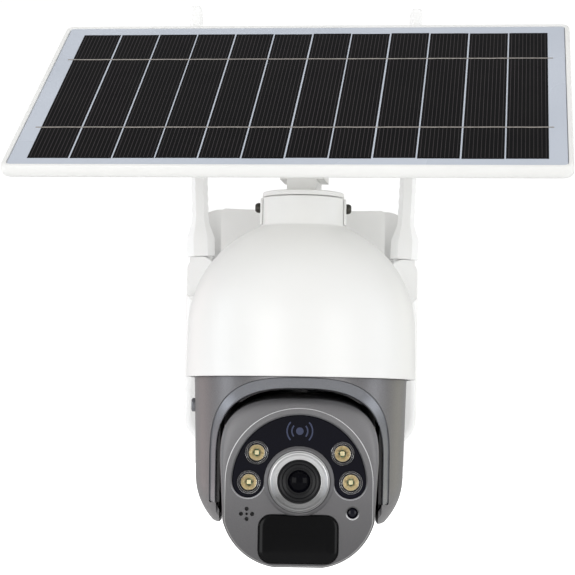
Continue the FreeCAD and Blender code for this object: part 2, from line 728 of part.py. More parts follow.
def head_screws():
    forwards = Vector(0, -1, 0)
    return group([placed_screw((x, 16, z), forwards, 15, head_r=2.8) for x, z in head_screw_places()])


def tilt_axles():
    """Hollow stub axles, clamped between the two halves of the head."""
    stubs = []
    for side, sign in SIDES:
        stub = rod(AXLE_R, (sign * 37.5, 0, TILT_Z), Vector(sign, 0, 0), 9.0)
        stubs.append(stub.cut(rod(1.8, (sign * 37, 0, TILT_Z), Vector(sign, 0, 0), 10)))
    return group(stubs)


def tilt_gear():
    gear = involute_gear(TILT_MODULE, TILT_TEETH, 2.4, 180)
    gear.rotate(Vector(0, 0, 0), Y_DIR, 90)
    gear.translate(Vector(CHEEK_X + CHEEK_COVER + 0.5, 0, TILT_Z))
    return gear.cut(rod(AXLE_R, (40, 0, TILT_Z), X_DIR, 10))


def led_window():
    window = window_outline(0, (FACE_Y + 0.3, FACE_Y + 0.3 + WINDOW_THICK))
    for x, z in LED_PLACES:
        window = window.cut(rod(LED_R, (x, FACE_Y - 1, z), Y_DIR, 6))
    return window


def led_lenses():
    return group([rod(LED_R - 0.05, (x, FACE_Y + 0.1, z), Y_DIR, 0.9) for x, z in LED_PLACES])


def led_reflectors():
    """Bright cup behind each lens."""
    cups = []
    for x, z in LED_PLACES:
        cup = rod(LED_R - 0.05, (x, FACE_Y + 1.1, z), Y_DIR, 5.0)
        bowl = Part.makeCone(5.2, 1.7, 4.2, Vector(x, FACE_Y + 1.0, z), Y_DIR)
        cups.append(cup.cut(bowl).cut(rod(1.6, (x, FACE_Y + 5, z), Y_DIR, 2)))
    return group(cups)


def led_board():
    """Crescent board with one lamp chip in the throat of each reflector."""
    board = window_outline(-0.6, (FACE_Y + 6.2, FACE_Y + 7.8))
    return join([board] + [rod(1.5, (x, FACE_Y + 5.0, z), Y_DIR, 1.4) for x, z in LED_PLACES])


def lens_bezel():
    """Stepped ring round the lens, revolved about the lens axis."""
    steps = ((BEZEL_R, -1.6), (17.6, -2.3), (16.2, -2.3), (15.9, -2.6), (15.9, -4.6), (15.5, -5.0),
             (14.2, -5.0), (11.4, -1.5), (11.4, 6.0), (15.8, 6.0), (15.8, 0.0), (BEZEL_R, 0.0))
    points = [Vector(radius, FACE_Y + depth, TILT_Z) for radius, depth in steps]
    return turned(points, Vector(0, 0, TILT_Z), Y_DIR)


def lens_barrel():
    steps = ((11.3, -0.5), (11.3, 7.0), (9.0, 7.0), (9.0, 24.0), (0, 24.0), (0, 3.4), (7.4, 3.4), (7.4, 1.2),
             (9.6, -0.5))
    points = [Vector(radius, FACE_Y + depth, TILT_Z) for radius, depth in steps]
    return turned(points, Vector(0, 0, TILT_Z), Y_DIR)


def lens_glass():
    ball = Part.makeSphere(11.0, Vector(0, FACE_Y + 11.6, TILT_Z))
    return ball.common(rod(7.3, (0, FACE_Y, TILT_Z), Y_DIR, 3.3))


def sensor_board():
    board = block((-16, 16), (-20, -18.4), (TILT_Z - 16, TILT_Z + 16))
    chip = block((-6, 6), (-18.5, -16.6), (TILT_Z - 6, TILT_Z + 6))
    return join([board, chip])


def pir_window():
    body = pir_outline(0, (FACE_Y - 1.6, FACE_Y + 1.6))
    crown = rod(120.0, (-30, FACE_Y - 1.6 + 120.0, (PIR_TOP + PIR_BOTTOM) / 2), X_DIR, 60)
    return body.common(crown).cut(rod(BEZEL_R + 0.15, (0, FACE_Y - 3, TILT_Z), Y_DIR, 6))


def pir_sensor():
    z = (PIR_TOP + PIR_BOTTOM) / 2
    can = rod(4.6, (0, FACE_Y + 6, z), Y_DIR, 4.2)
    base = rod(5.2, (0, FACE_Y + 10.1, z), Y_DIR, 1.0)
    return join([can, base])


def microphone():
    can = rod(4.6, (MIC_X, FACE_Y + SKIN, MIC_Z), Y_DIR, 3)
    return join([can, rod(3.6, (MIC_X, FACE_Y + 5, MIC_Z), Y_DIR, 2)])


def light_sensor():
    cap = rod(2.8, (SENSOR_X, FACE_Y + 0.7, SENSOR_Z), Y_DIR, 4)
    return join([cap, rod(3.6, (SENSOR_X, FACE_Y + 4, SENSOR_Z), Y_DIR, 1.2)])


# ---------------------------------------------------------------- panel and its mount

def panel_turned(shape):
    """Turns a piece about the neck axis to the panel's rest heading."""
    shape.rotate(Vector(0, 0, 0), Z_DIR, -PANEL_TURN)
    return shape


def on_panel(shape):
    """Moves a piece from the panel's own frame to its place over the neck."""
    shape.rotate(Vector(0, 0, 0), X_DIR, PANEL_SLOPE)
    shape.translate(Vector(0, 0, PANEL_Z))
    return panel_turned(shape)


def hinge_on_panel():
    """Hinge axis in the panel's own frame, as its place up the slope and out of the face."""
    slope = math.radians(PANEL_SLOPE)
    rise = HINGE_Z - PANEL_Z
    along = HINGE_Y * math.cos(slope) + rise * math.sin(slope)
    out = -HINGE_Y * math.sin(slope) + rise * math.cos(slope)
    return along, out


def swivel_disc():
    disc = rod(22.1, (0, 0, NECK_TOP + 0.4), Z_DIR, 3.2)
    top_edge = [edge for edge in disc.Edges
                if all(abs(vertex.Z - NECK_TOP - 3.6) < 0.01 for vertex in edge.Vertexes)]
    return disc.makeFillet(1.2, top_edge).cut(rod(SWIVEL_R, (0, 0, NECK_TOP), Z_DIR, 5))


def swivel_bolt():
    """Bolt that holds the disc down on the neck and lets it turn."""
    shank = rod(SWIVEL_R, (0, 0, 80), Z_DIR, NECK_TOP + 3.6 - 80)
    nut = rod(9.0, (0, 0, 79), Z_DIR, 4.4)
    return join([shank, nut])


def panel_post():
    """Post on the disc, opening into a fork for the panel hinge."""
    foot_z = NECK_TOP + 3.6
    foot = block((-POST_HALF, POST_HALF), (-10, 18), (foot_z, 108))
    flare = block((-FORK_HALF, FORK_HALF), (-9, 17), (107, 118))
    ears = block((-FORK_HALF, FORK_HALF), (HINGE_Y - EYE_R, HINGE_Y + EYE_R), (112, HINGE_Z))
    eyes = rod(EYE_R, (-FORK_HALF, HINGE_Y, HINGE_Z), X_DIR, 2 * FORK_HALF)
    post = join([foot, flare, ears, eyes])
    gap = block((-FORK_GAP_HALF, FORK_GAP_HALF), (-20, 30), (HINGE_Z - EYE_R - 1.2, 150))
    post = post.cut(gap).cut(rod(HINGE_BOLT_R, (-20, HINGE_Y, HINGE_Z), X_DIR, 40))
    return panel_turned(post)


def hinge_bolt():
    bolt = rod(HINGE_BOLT_R, (-FORK_HALF, HINGE_Y, HINGE_Z), X_DIR, 2 * FORK_HALF)
    head = rod(5.5, (-FORK_HALF - 4, HINGE_Y, HINGE_Z), X_DIR, 4)
    return panel_turned(join([bolt, head]))


def hinge_knob():
    """Wing knob that clamps the panel's tilt."""
    hub = rod(6.0, (FORK_HALF, HINGE_Y, HINGE_Z), X_DIR, 7)
    wings = block((FORK_HALF + 2, FORK_HALF + 8), (HINGE_Y - 12, HINGE_Y + 12), (HINGE_Z - 2, HINGE_Z + 2))
    return panel_turned(join([hub, wings]))


def panel_bracket():
    """Plate under the panel with the tongue that goes into the fork."""
    along, out = hinge_on_panel()
    top = FRAME_LIP - FRAME_THICK
    plate = block((-32, 32), (along - 24, along + 24), (top - 3, top))
    tongue_half = FORK_GAP_HALF - 0.3
    tongue = block((-tongue_half, tongue_half), (along - 8.5, along + 8.5), (out, top - 2))
    eye = rod(8.5, (-tongue_half, along, out), X_DIR, 2 * tongue_half)
    bore = rod(HINGE_BOLT_R + RUN, (-20, along, out), X_DIR, 40)
    bracket = join([plate, tongue, eye]).cut(bore)
    for x, y in bracket_screw_places():
        bracket = bracket.cut(rod(SCREW_R + 0.2, (x, y, top - 5), Z_DIR, 8))
    return on_panel(bracket)


def bracket_screw_places():
    along, out = hinge_on_panel()
    return [(x, along + y) for x in (-25, 25) for y in (-17, 17)]


def bracket_screws():
    top = FRAME_LIP - FRAME_THICK
    screws = [placed_screw((x, y, top - 3), Z_DIR, 5, head_r=2.8) for x, y in bracket_screw_places()]
    return group([on_panel(screw) for screw in screws])


def flat_slab(width, depth, corner, z):
    """Rounded rectangle lying in the panel's own frame."""
    x = (PANEL_MID_X - width / 2, PANEL_MID_X + width / 2)
    y = (PANEL_MID_Y - depth / 2, PANEL_MID_Y + depth / 2)
    plate = block(x, y, z)
    uprights = [edge for edge in plate.Edges if abs(edge.tangentAt(edge.FirstParameter).z) > 0.99]
    return plate.makeFillet(corner, uprights)


def panel_frame():
    """Shallow moulded tray that holds the glass."""
    low = FRAME_LIP - FRAME_THICK
    body = flat_slab(FRAME_WIDTH, FRAME_DEPTH, 3.5, (low, FRAME_LIP))
    rims = [edge for edge in body.Edges if all(abs(vertex.Z - low) < 0.01 for vertex in edge.Vertexes)]
    body = body.makeFillet(2.5, rims)
    seat = flat_slab(GLASS_WIDTH + 0.2, GLASS_DEPTH + 0.2, 1.5, (-GLASS_THICK, FRAME_LIP + 1))
    body = body.cut(seat)
    relief = flat_slab(GLASS_WIDTH - 16, GLASS_DEPTH - 16, 6.0, (low + 1.8, 0))
    body = body.cut(relief)
    for x, y in bracket_screw_places():
        body = join([body, rod(4.0, (x, y, low + 0.5), Z_DIR, FRAME_THICK - FRAME_LIP - GLASS_THICK - 0.6)])
        body = body.cut(rod(SCREW_R, (x, y, low - 1), Z_DIR, 3.4))
    return on_panel(body)


def panel_glass():
    """Glass and back sheet, with a shallow bed for the cells."""
    glass = flat_slab(GLASS_WIDTH, GLASS_DEPTH, 1.4, (-GLASS_THICK, 0))
    bed = solar_bed(0.2, (-0.5, 1))
    return on_panel(glass.cut(bed))


def solar_bed(grow, z):
    half = CELLS_ACROSS * SOLAR_PITCH / 2 + 3.2 + grow
    y = (SOLAR_MID_Y - SOLAR_LENGTH / 2 - grow, SOLAR_MID_Y + SOLAR_LENGTH / 2 + grow)
    return block((PANEL_MID_X - half, PANEL_MID_X + half), y, z)


def solar_cells():
    """Twelve cell strips side by side."""
    strips = []
    for index in range(CELLS_ACROSS):
        middle = PANEL_MID_X + (index - (CELLS_ACROSS - 1) / 2) * SOLAR_PITCH
        half = (SOLAR_PITCH - SOLAR_GAP) / 2
        y = (SOLAR_MID_Y - SOLAR_LENGTH / 2, SOLAR_MID_Y + SOLAR_LENGTH / 2)
        strips.append(on_panel(block((middle - half, middle + half), y, (-0.5, -0.25))))
    return group(strips)


def junction_box():
    """Sealed box for the panel's output lead, with its gland."""
    top = FRAME_LIP - FRAME_THICK
    body = block((40, 82), (20, 50), (top - 9, top))
    gland = rod(4.5, (61, 20, top - 4.7), Vector(0, -1, 0), 8)
    bore = rod(2.2, (61, 21, top - 4.7), Vector(0, -1, 0), 10)
    return on_panel(join([body, gland]).cut(bore))


# ---------------------------------------------------------------- antennas

def antenna_knuckle(sign):
    """Swivelling base: a stem in the box's ledge, a fork with a round top, and the fold pin."""
    x = sign * ANTENNA_X
    half_depth = ANTENNA_DEPTH / 2
    body = block((x - ANTENNA_HALF, x + ANTENNA_HALF), (ANTENNA_Y - half_depth, ANTENNA_Y + half_depth),
                 (LEDGE_Z + 0.35, FOLD_Z))
    top = rod(ANTENNA_HALF, (x, ANTENNA_Y - half_depth, FOLD_Z), Y_DIR, ANTENNA_DEPTH)
    stem = rod(STEM_R, (x, ANTENNA_Y, LEDGE_Z - 8), Z_DIR, 9)
    stop = rod(STEM_R + 1.2, (x, ANTENNA_Y, LEDGE_Z - 8), Z_DIR, 8 - SKIN - 0.35)
    knuckle = join([body, top, stem, stop])
    slot = block((x - 20, x + 20), (ANTENNA_Y - 2.35, ANTENNA_Y + 2.35), (FOLD_Z - ANTENNA_HALF - 0.4, 90))
    knuckle = knuckle.cut(slot).cut(rod(FOLD_PIN_R, (x, ANTENNA_Y - 10, FOLD_Z), Y_DIR, 20))
    pin = rod(FOLD_PIN_R, (x, ANTENNA_Y - half_depth, FOLD_Z), Y_DIR, ANTENNA_DEPTH)
    return group([knuckle, pin])


def antenna_paddle(sign):
    """Blade with a wide heel, folded about a pin in the knuckle."""
    heel_top = 84.0
    blade_z = 93.5
    half_depth = ANTENNA_DEPTH / 2
    outline = ((ANTENNA_HALF, PADDLE_Z), (ANTENNA_HALF, heel_top), (4.7, blade_z), (4.6, 118),
               (3.7, PADDLE_TOP - 2.5), (2.6, PADDLE_TOP))
    right = [Vector(half, 0, z) for half, z in outline]
    left = [Vector(-point.x, 0, point.z) for point in reversed(right)]
    body = polygon(right + left).extrude(Vector(0, ANTENNA_DEPTH, 0))
    body.translate(Vector(0, -half_depth, 0))
    side = ((half_depth, PADDLE_Z - 1), (half_depth, heel_top), (3.6, blade_z), (3.2, PADDLE_TOP + 1))
    front = [Vector(0, -depth, z) for depth, z in side]
    back = [Vector(0, -point.y, point.z) for point in reversed(front)]
    side_cut = polygon(front + back).extrude(Vector(30, 0, 0))
    side_cut.translate(Vector(-15, 0, 0))
    body = body.common(side_cut)
    tongue = block((-6.5, 6.5), (-2.1, 2.1), (FOLD_Z, PADDLE_Z + 1))
    eye = rod(6.5, (0, -2.1, FOLD_Z), Y_DIR, 4.2)
    paddle = join([body, tongue, eye]).cut(rod(FOLD_PIN_R + RUN, (0, -10, FOLD_Z), Y_DIR, 20))
    paddle.rotate(Vector(0, 0, FOLD_Z), Y_DIR, sign * ANTENNA_SPLAY)
    paddle.translate(Vector(sign * ANTENNA_X, ANTENNA_Y, 0))
    return paddle


# ---------------------------------------------------------------- all the pieces

def pieces():
    """Every piece by its node name."""
    named = {
        "wall_tray": wall_tray(),
        "battery_cover": battery_cover(),
        "box_seal": box_seal(),
        "battery_cells": battery_cells(),
        "battery_holder": battery_holder(),
        "charge_board": charge_board(),
        "cable_gland": cable_gland(),
        "arm_bracket": arm_bracket(),
        "dome_shell": dome_shell(),
        "neck_insert": neck_insert(),
        "neck_screws": neck_screws(),
        "dome_chassis": dome_chassis(),
        "housing_screws": housing_screws(),
        "main_board": main_board(),
        "pan_bearing": pan_bearing(),
        "pan_motor": pan_motor(),
        "pan_pinion": pan_pinion(),
        "yoke_shell": yoke_shell(),
        "yoke_bezel": yoke_bezel(),
        "cheek_covers": cheek_covers(),
        "tilt_bushes": tilt_bushes(),
        "pan_hub": pan_hub(),
        "pan_gear": pan_gear(),
        "tilt_motor": tilt_motor(),
        "tilt_pinion": tilt_pinion(),
        "speaker": speaker(),
        "button_switch": button_switch(),
        "power_button": power_button(),
        "head_front": head_front(),
        "head_rear": head_rear(),
        "head_screws": head_screws(),
        "tilt_axles": tilt_axles(),
        "tilt_gear": tilt_gear(),
        "led_window": led_window(),
        "led_lenses": led_lenses(),
        "led_reflectors": led_reflectors(),
        "led_board": led_board(),
        "lens_bezel": lens_bezel(),
        "lens_barrel": lens_barrel(),
        "lens_glass": lens_glass(),
        "sensor_board": sensor_board(),
        "pir_window": pir_window(),
        "pir_sensor": pir_sensor(),
        "microphone": microphone(),
        "light_sensor": light_sensor(),
        "swivel_disc": swivel_disc(),
        "swivel_bolt": swivel_bolt(),
        "panel_post": panel_post(),
        "hinge_bolt": hinge_bolt(),
        "hinge_knob": hinge_knob(),
        "panel_bracket": panel_bracket(),
        "panel_frame": panel_frame(),
        "panel_glass": panel_glass(),
        "solar_cells": solar_cells(),
        "junction_box": junction_box(),
        "bracket_screws": bracket_screws(),
    }
    for side, sign in SIDES:
        named["antenna_knuckle_" + side] = antenna_knuckle(sign)
        named["antenna_paddle_" + side] = antenna_paddle(sign)
    return named


def save(name, shape):
    """Writes one piece in the row frame."""
    shape.translate(Vector(0, -WALL_Y, -MOUNT_Z))
    shape.exportStep("parts/" + name + ".step")


os.makedirs("parts", exist_ok=True)
for node, solid in pieces().items():
    save(node, solid)
    state = "valid" if solid.isValid() else "NOT VALID"
    print(node, len(solid.Solids), round(solid.Volume / 1000, 2), "cm3", state)
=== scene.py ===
"""Looks of the solar-powered security camera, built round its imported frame.

Pieces are modelled in millimetres in the camera's working frame: the neck axis is x = 0, y = 0,
and z = 0 is the bottom edge of the dome. deliver() puts each finished piece in its place in metres.
"""
import math
import random

import bpy
from mathutils import Matrix, Vector


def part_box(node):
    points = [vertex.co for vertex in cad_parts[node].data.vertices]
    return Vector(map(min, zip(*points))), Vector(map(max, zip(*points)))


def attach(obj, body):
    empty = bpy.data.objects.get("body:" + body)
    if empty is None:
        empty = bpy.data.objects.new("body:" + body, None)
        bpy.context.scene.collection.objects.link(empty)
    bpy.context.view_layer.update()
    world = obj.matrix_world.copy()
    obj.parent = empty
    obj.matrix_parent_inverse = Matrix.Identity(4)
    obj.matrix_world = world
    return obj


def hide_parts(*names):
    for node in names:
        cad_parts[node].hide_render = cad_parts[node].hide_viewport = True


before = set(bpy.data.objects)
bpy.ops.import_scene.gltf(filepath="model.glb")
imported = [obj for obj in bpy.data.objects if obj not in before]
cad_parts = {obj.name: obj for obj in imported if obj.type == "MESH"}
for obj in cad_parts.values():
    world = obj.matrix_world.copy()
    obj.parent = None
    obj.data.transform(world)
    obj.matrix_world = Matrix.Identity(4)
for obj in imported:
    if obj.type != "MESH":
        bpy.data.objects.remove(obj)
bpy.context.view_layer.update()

MM = 0.001
SIDES = (("left", -1), ("right", 1))

# Working frame, from the dome's own box
DOME_LOW, DOME_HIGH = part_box("dome_shell")
RIM = Vector(((DOME_LOW[0] + DOME_HIGH[0]) / 2, (DOME_LOW[1] + DOME_HIGH[1]) / 2, DOME_LOW[2]))
TO_ROW = Matrix.Translation(RIM) @ Matrix.Scale(MM, 4)

# Solar panel's resting place
PANEL_SLOPE = math.radians(33.5)
PANEL_TURN = math.radians(6.1)
PANEL_Z = 159.6
ON_PANEL = (Matrix.Rotation(-PANEL_TURN, 4, "Z") @ Matrix.Translation((0, 0, PANEL_Z))
            @ Matrix.Rotation(PANEL_SLOPE, 4, "X"))

# Dome and yoke
DOME_R = 61.7
SHOULDER_R = 61.2
SHOULDER_Z = 26.0
DOME_RISE = 60.0
SKIN = 2.4
NECK_R = 22.9
NECK_TOP = 97.0
YOKE_R = 57.0
YOKE_LOW_R = 55.6
CHEEK_X = 41.8
YOKE_TOP = 0.2
# Crowns: half width, foot height, rise and squareness, where 2 is an ellipse
ARCH = (CHEEK_X, -44.0, 37.9, 2.8)
RIM_INSIDE = (43.4, -44.0, 37.9, 2.8)
RIM_OUTSIDE = (47.2, -44.0, 43.5, 3.0)
RIM_FOOT_Z = -66.0
RIM_BACK_Y = -24.0

# Head
TILT_Z = -54.0
FACE_Y = -44.0
FACE_SIDE_Z = -75.0
FACE_FLAT = 12.8
HEAD_R = 46.5
# Head outlines: half width, half width at the sides' foot, crown foot, crown rise, squareness, bottom
FACE_SECTION = (38.5, 38.5, -54.4, 38.5, 2.0, -97.8)
SHOULDER_SECTION = (41.2, 39.3, -44.0, 33.0, 3.0, -98.3)
AXIS_SECTION = (41.0, 41.0, -44.0, 36.5, 3.0, -100.5)
SHOULDER_Y = -40.5
LED_PLACES = ((-22.1, -39.4), (-26.0, -54.7), (22.3, -39.3), (26.8, -54.2))
LED_R = 6.15
WINDOW_INNER = 18.3
WINDOW_OUTER = 34.6


# Button, sensor, screws and antenna hinge
SCREW_Z = 92.0
BUTTON_Z = -15.0
SENSOR_PLACE = (27.8, FACE_Y, -69.8)
MIC_X = -26.8
MIC_Z = -71.0
ANTENNA_X = 59.6
ANTENNA_Y = 104.0
FOLD_Z = 64.5
SPLAY = math.radians(2.2)

# Meshes
MERGE_GAP = 0.002
CROWN_STEPS = 64


# ---------------------------------------------------------------- modelling helpers

def deselect():
    if bpy.context.object and bpy.context.object.mode != "OBJECT":
        bpy.ops.object.mode_set(mode="OBJECT")
    bpy.ops.object.select_all(action="DESELECT")


def take(obj):
    """Makes obj the only selected object."""
    deselect()
    obj.select_set(True)
    bpy.context.view_layer.objects.active = obj


def settle(obj):
    """Moves an object's place, turn and size into its mesh."""
    take(obj)
    bpy.ops.object.transform_apply(location=True, rotation=True, scale=True)
    return obj


def named(name):
    obj = bpy.context.active_object
    obj.name = name
    obj.data.name = name
    return obj


def add_block(name, x, y, z):
    """Box between two limits on each axis."""
    deselect()
    middle = [(low + high) / 2 for low, high in (x, y, z)]
    size = [high - low for low, high in (x, y, z)]
    bpy.ops.mesh.primitive_cube_add(size=1, location=middle, scale=size)
    return settle(named(name))


def add_rod(name, radius, start, axis, length, sides=64, top_radius=None):
    """Rod or cone from start along an axis letter; a negative length runs the other way."""
    deselect()
    turns = {"X": (0, math.pi / 2, 0), "Y": (-math.pi / 2, 0, 0), "Z": (0, 0, 0)}
    step = {"X": Vector((1, 0, 0)), "Y": Vector((0, 1, 0)), "Z": Vector((0, 0, 1))}[axis]
    middle = Vector(start) + step * length / 2
    end_radius = radius if top_radius is None else top_radius
    low, high = (radius, end_radius) if length > 0 else (end_radius, radius)
    bpy.ops.mesh.primitive_cone_add(vertices=sides, radius1=low, radius2=high, depth=abs(length),
                                    location=middle, rotation=turns[axis])
    return settle(named(name))


def done():
    bpy.ops.object.mode_set(mode="OBJECT")


def soften(obj, width, segments=2, angle=35):
    """Rounds every edge sharper than an angle."""
    take(obj)
    modifier = obj.modifiers.new("soften", "BEVEL")
    modifier.width = width
    modifier.segments = segments
    modifier.limit_method = "ANGLE"
    modifier.angle_limit = math.radians(angle)
    bpy.ops.object.modifier_apply(modifier=modifier.name)
    return obj


def carve(obj, cutter, operation="DIFFERENCE"):
    """Cuts another object out of obj, or joins or intersects them, and removes the other."""
    take(obj)
    modifier = obj.modifiers.new("carve", "BOOLEAN")
    modifier.object = cutter
    modifier.operation = operation
    modifier.solver = "EXACT"
    bpy.ops.object.modifier_apply(modifier=modifier.name)
    bpy.data.objects.remove(cutter)
    return obj


def merge(name, parts):
    """One object from several that only touch."""
    deselect()
    for part in parts:
        part.select_set(True)
    bpy.context.view_layer.objects.active = parts[0]
    bpy.ops.object.join()
    return named(name)


def tidy_mesh(obj):
    """Merges doubled points and turns every face outwards."""
    take(obj)
    bpy.context.tool_settings.mesh_select_mode = (True, False, False)
    bpy.ops.object.mode_set(mode="EDIT")
    bpy.ops.mesh.select_all(action="SELECT")
    bpy.ops.mesh.remove_doubles(threshold=MERGE_GAP)
    bpy.ops.mesh.normals_make_consistent(inside=False)
    done()
    return obj


def draw(name, points, closed=True):
    """Outline drawn by extruding one point from place to place."""
    deselect()
    bpy.ops.mesh.primitive_plane_add(size=1)
    obj = named(name)
    bpy.context.tool_settings.mesh_select_mode = (True, False, False)
    bpy.ops.object.mode_set(mode="EDIT")
    bpy.ops.mesh.select_all(action="SELECT")
    bpy.ops.mesh.merge(type="CENTER")
    bpy.ops.transform.translate(value=points[0])
    for start, end in zip(points, points[1:]):
        step = Vector(end) - Vector(start)
        bpy.ops.mesh.extrude_vertices_move(TRANSFORM_OT_translate={"value": step})
    if closed:
        step = Vector(points[0]) - Vector(points[-1])
        bpy.ops.mesh.extrude_vertices_move(TRANSFORM_OT_translate={"value": step})
        bpy.ops.mesh.select_all(action="SELECT")
        bpy.ops.mesh.remove_doubles(threshold=0.0005)
    done()
    return obj


def turn(name, profile, centre=(0, 0, 0), axis="Z", steps=96, closed=True):
    """Solid of revolution from (radius, distance along the axis) points."""
    centre = Vector(centre)
    place = {"X": lambda r, h: centre + Vector((h, 0, r)), "Y": lambda r, h: centre + Vector((r, h, 0)),
             "Z": lambda r, h: centre + Vector((r, 0, h))}[axis]
    direction = {"X": (1, 0, 0), "Y": (0, 1, 0), "Z": (0, 0, 1)}[axis]
    obj = draw(name, [place(radius, height) for radius, height in profile], closed)
    take(obj)
    bpy.ops.object.mode_set(mode="EDIT")
    bpy.ops.mesh.select_all(action="SELECT")
    bpy.ops.mesh.spin(steps=steps, angle=2 * math.pi, use_auto_merge=True, center=centre, axis=direction)
    done()
    return tidy_mesh(obj)


def bridge_after(obj, first):
    """Bridges the loops made of the vertices from an index on."""
    take(obj)
    bpy.context.tool_settings.mesh_select_mode = (False, True, False)
    for vertex in obj.data.vertices:
        vertex.select = False
    for face in obj.data.polygons:
        face.select = False
    for edge in obj.data.edges:
        edge.select = min(edge.vertices) >= first
    bpy.ops.object.mode_set(mode="EDIT")
    bpy.ops.mesh.bridge_edge_loops()
    done()


def grow_through(name, loops, ring=False):
    """Solid lofted through loops with the same number of points each, or a closed ring of them."""
    body = draw(name, loops[0])
    count = len(loops[0])
    path = list(loops[1:]) + ([loops[0]] if ring else [])
    for index, loop in enumerate(path):
        body = merge(name, [body, draw("loop", loop)])
        bridge_after(body, index * count)
    if not ring:
        bpy.ops.object.mode_set(mode="EDIT")
        bpy.ops.mesh.select_all(action="DESELECT")
        bpy.ops.mesh.select_non_manifold(extend=False, use_wire=False, use_multi_face=False,
                                         use_non_contiguous=False, use_verts=False)
        bpy.ops.mesh.fill_holes(sides=0)
        done()
    return tidy_mesh(body)


def round_smooth(obj, angle=32):
    take(obj)
    bpy.ops.object.shade_smooth_by_angle(angle=math.radians(angle))
    return obj


def paint(obj, material):
    obj.data.materials.clear()
    obj.data.materials.append(material)


def deliver(obj, body, material, stands_for=(), angle=32, on_panel=False):
    """Finishes a piece: shading, place in the row frame, material and body."""
    round_smooth(obj, angle)
    obj.matrix_world = TO_ROW @ (ON_PANEL if on_panel else Matrix.Identity(4)) @ obj.matrix_world
    settle(obj)
    paint(obj, material)
    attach(obj, body)
    if stands_for:
        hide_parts(*stands_for)
    deselect()
    return obj


# ---------------------------------------------------------------- material helpers

def new_material(name):
    material = bpy.data.materials.new(name)
    material.use_nodes = True
    nodes = material.node_tree.nodes
    return material, nodes, material.node_tree.links, nodes["Principled BSDF"]


def make_speckle_group():
    """Fine grain: a mask from 0 to 1, and a broad one for slow changes of tone."""
    group = bpy.data.node_groups.new("fine_grain", "ShaderNodeTree")
    for label, value in (("Grain size", 900.0), ("Patch size", 14.0)):
        socket = group.interface.new_socket(name=label, in_out="INPUT", socket_type="NodeSocketFloat")
        socket.default_value = value
    for label in ("Grain", "Patch"):
        group.interface.new_socket(name=label, in_out="OUTPUT", socket_type="NodeSocketFloat")
    nodes, links = group.nodes, group.links
    start = nodes.new("NodeGroupInput")
    end = nodes.new("NodeGroupOutput")
    place = nodes.new("ShaderNodeTexCoord")
    for label, detail in (("Grain", 3.0), ("Patch", 2.0)):
        noise = nodes.new("ShaderNodeTexNoise")
        noise.inputs["Detail"].default_value = detail
        links.new(place.outputs["Object"], noise.inputs["Vector"])
        links.new(start.outputs[label + " size"], noise.inputs["Scale"])
        links.new(noise.outputs["Fac"], end.inputs[label])
    return group


GRAIN = make_speckle_group()


def make_painted_light_ramp_group():
    """Mask that rises from 0 to 1 between two heights, for light and shade painted by height."""
    group = bpy.data.node_groups.new("painted_light_ramp", "ShaderNodeTree")
    for label in ("Low", "High"):
        group.interface.new_socket(name=label, in_out="INPUT", socket_type="NodeSocketFloat")
    group.interface.new_socket(name="Height", in_out="OUTPUT", socket_type="NodeSocketFloat")
    nodes, links = group.nodes, group.links
    start = nodes.new("NodeGroupInput")
    end = nodes.new("NodeGroupOutput")
    place = nodes.new("ShaderNodeTexCoord")
    parts = nodes.new("ShaderNodeSeparateXYZ")
    span = nodes.new("ShaderNodeMapRange")
    span.interpolation_type = "SMOOTHSTEP"
    links.new(place.outputs["Object"], parts.inputs["Vector"])
    links.new(parts.outputs["Z"], span.inputs["Value"])
    links.new(start.outputs["Low"], span.inputs["From Min"])
    links.new(start.outputs["High"], span.inputs["From Max"])
    links.new(span.outputs["Result"], end.inputs["Height"])
    return group


PAINTED_LIGHT_RAMP = make_painted_light_ramp_group()


def grain_node(nodes, grain_size, patch_size):
    node = nodes.new("ShaderNodeGroup")
    node.node_tree = GRAIN
    node.inputs["Grain size"].default_value = grain_size
    node.inputs["Patch size"].default_value = patch_size
    return node


def between(nodes, links, factor, low, high):
    """Maps a mask to a range of values."""
    span = nodes.new("ShaderNodeMapRange")
    span.inputs["From Min"].default_value = 0.3
    span.inputs["From Max"].default_value = 0.7
    span.inputs["To Min"].default_value = low
    span.inputs["To Max"].default_value = high
    links.new(factor, span.inputs["Value"])
    return span.outputs["Result"]


def weigh(nodes, links, share, main, other):
    """Adds a share of a second mask to the main one."""
    mix = nodes.new("ShaderNodeMix")
    mix.inputs["Factor"].default_value = share
    links.new(main, mix.inputs["A"])
    links.new(other, mix.inputs["B"])
    return mix.outputs["Result"]


def blend_colour(nodes, links, factor, first, second):
    mix = nodes.new("ShaderNodeMix")
    mix.data_type = "RGBA"
    mix.inputs["A"].default_value = (*first, 1)
    mix.inputs["B"].default_value = (*second, 1)
    links.new(factor, mix.inputs["Factor"])
    return mix.outputs["Result"]


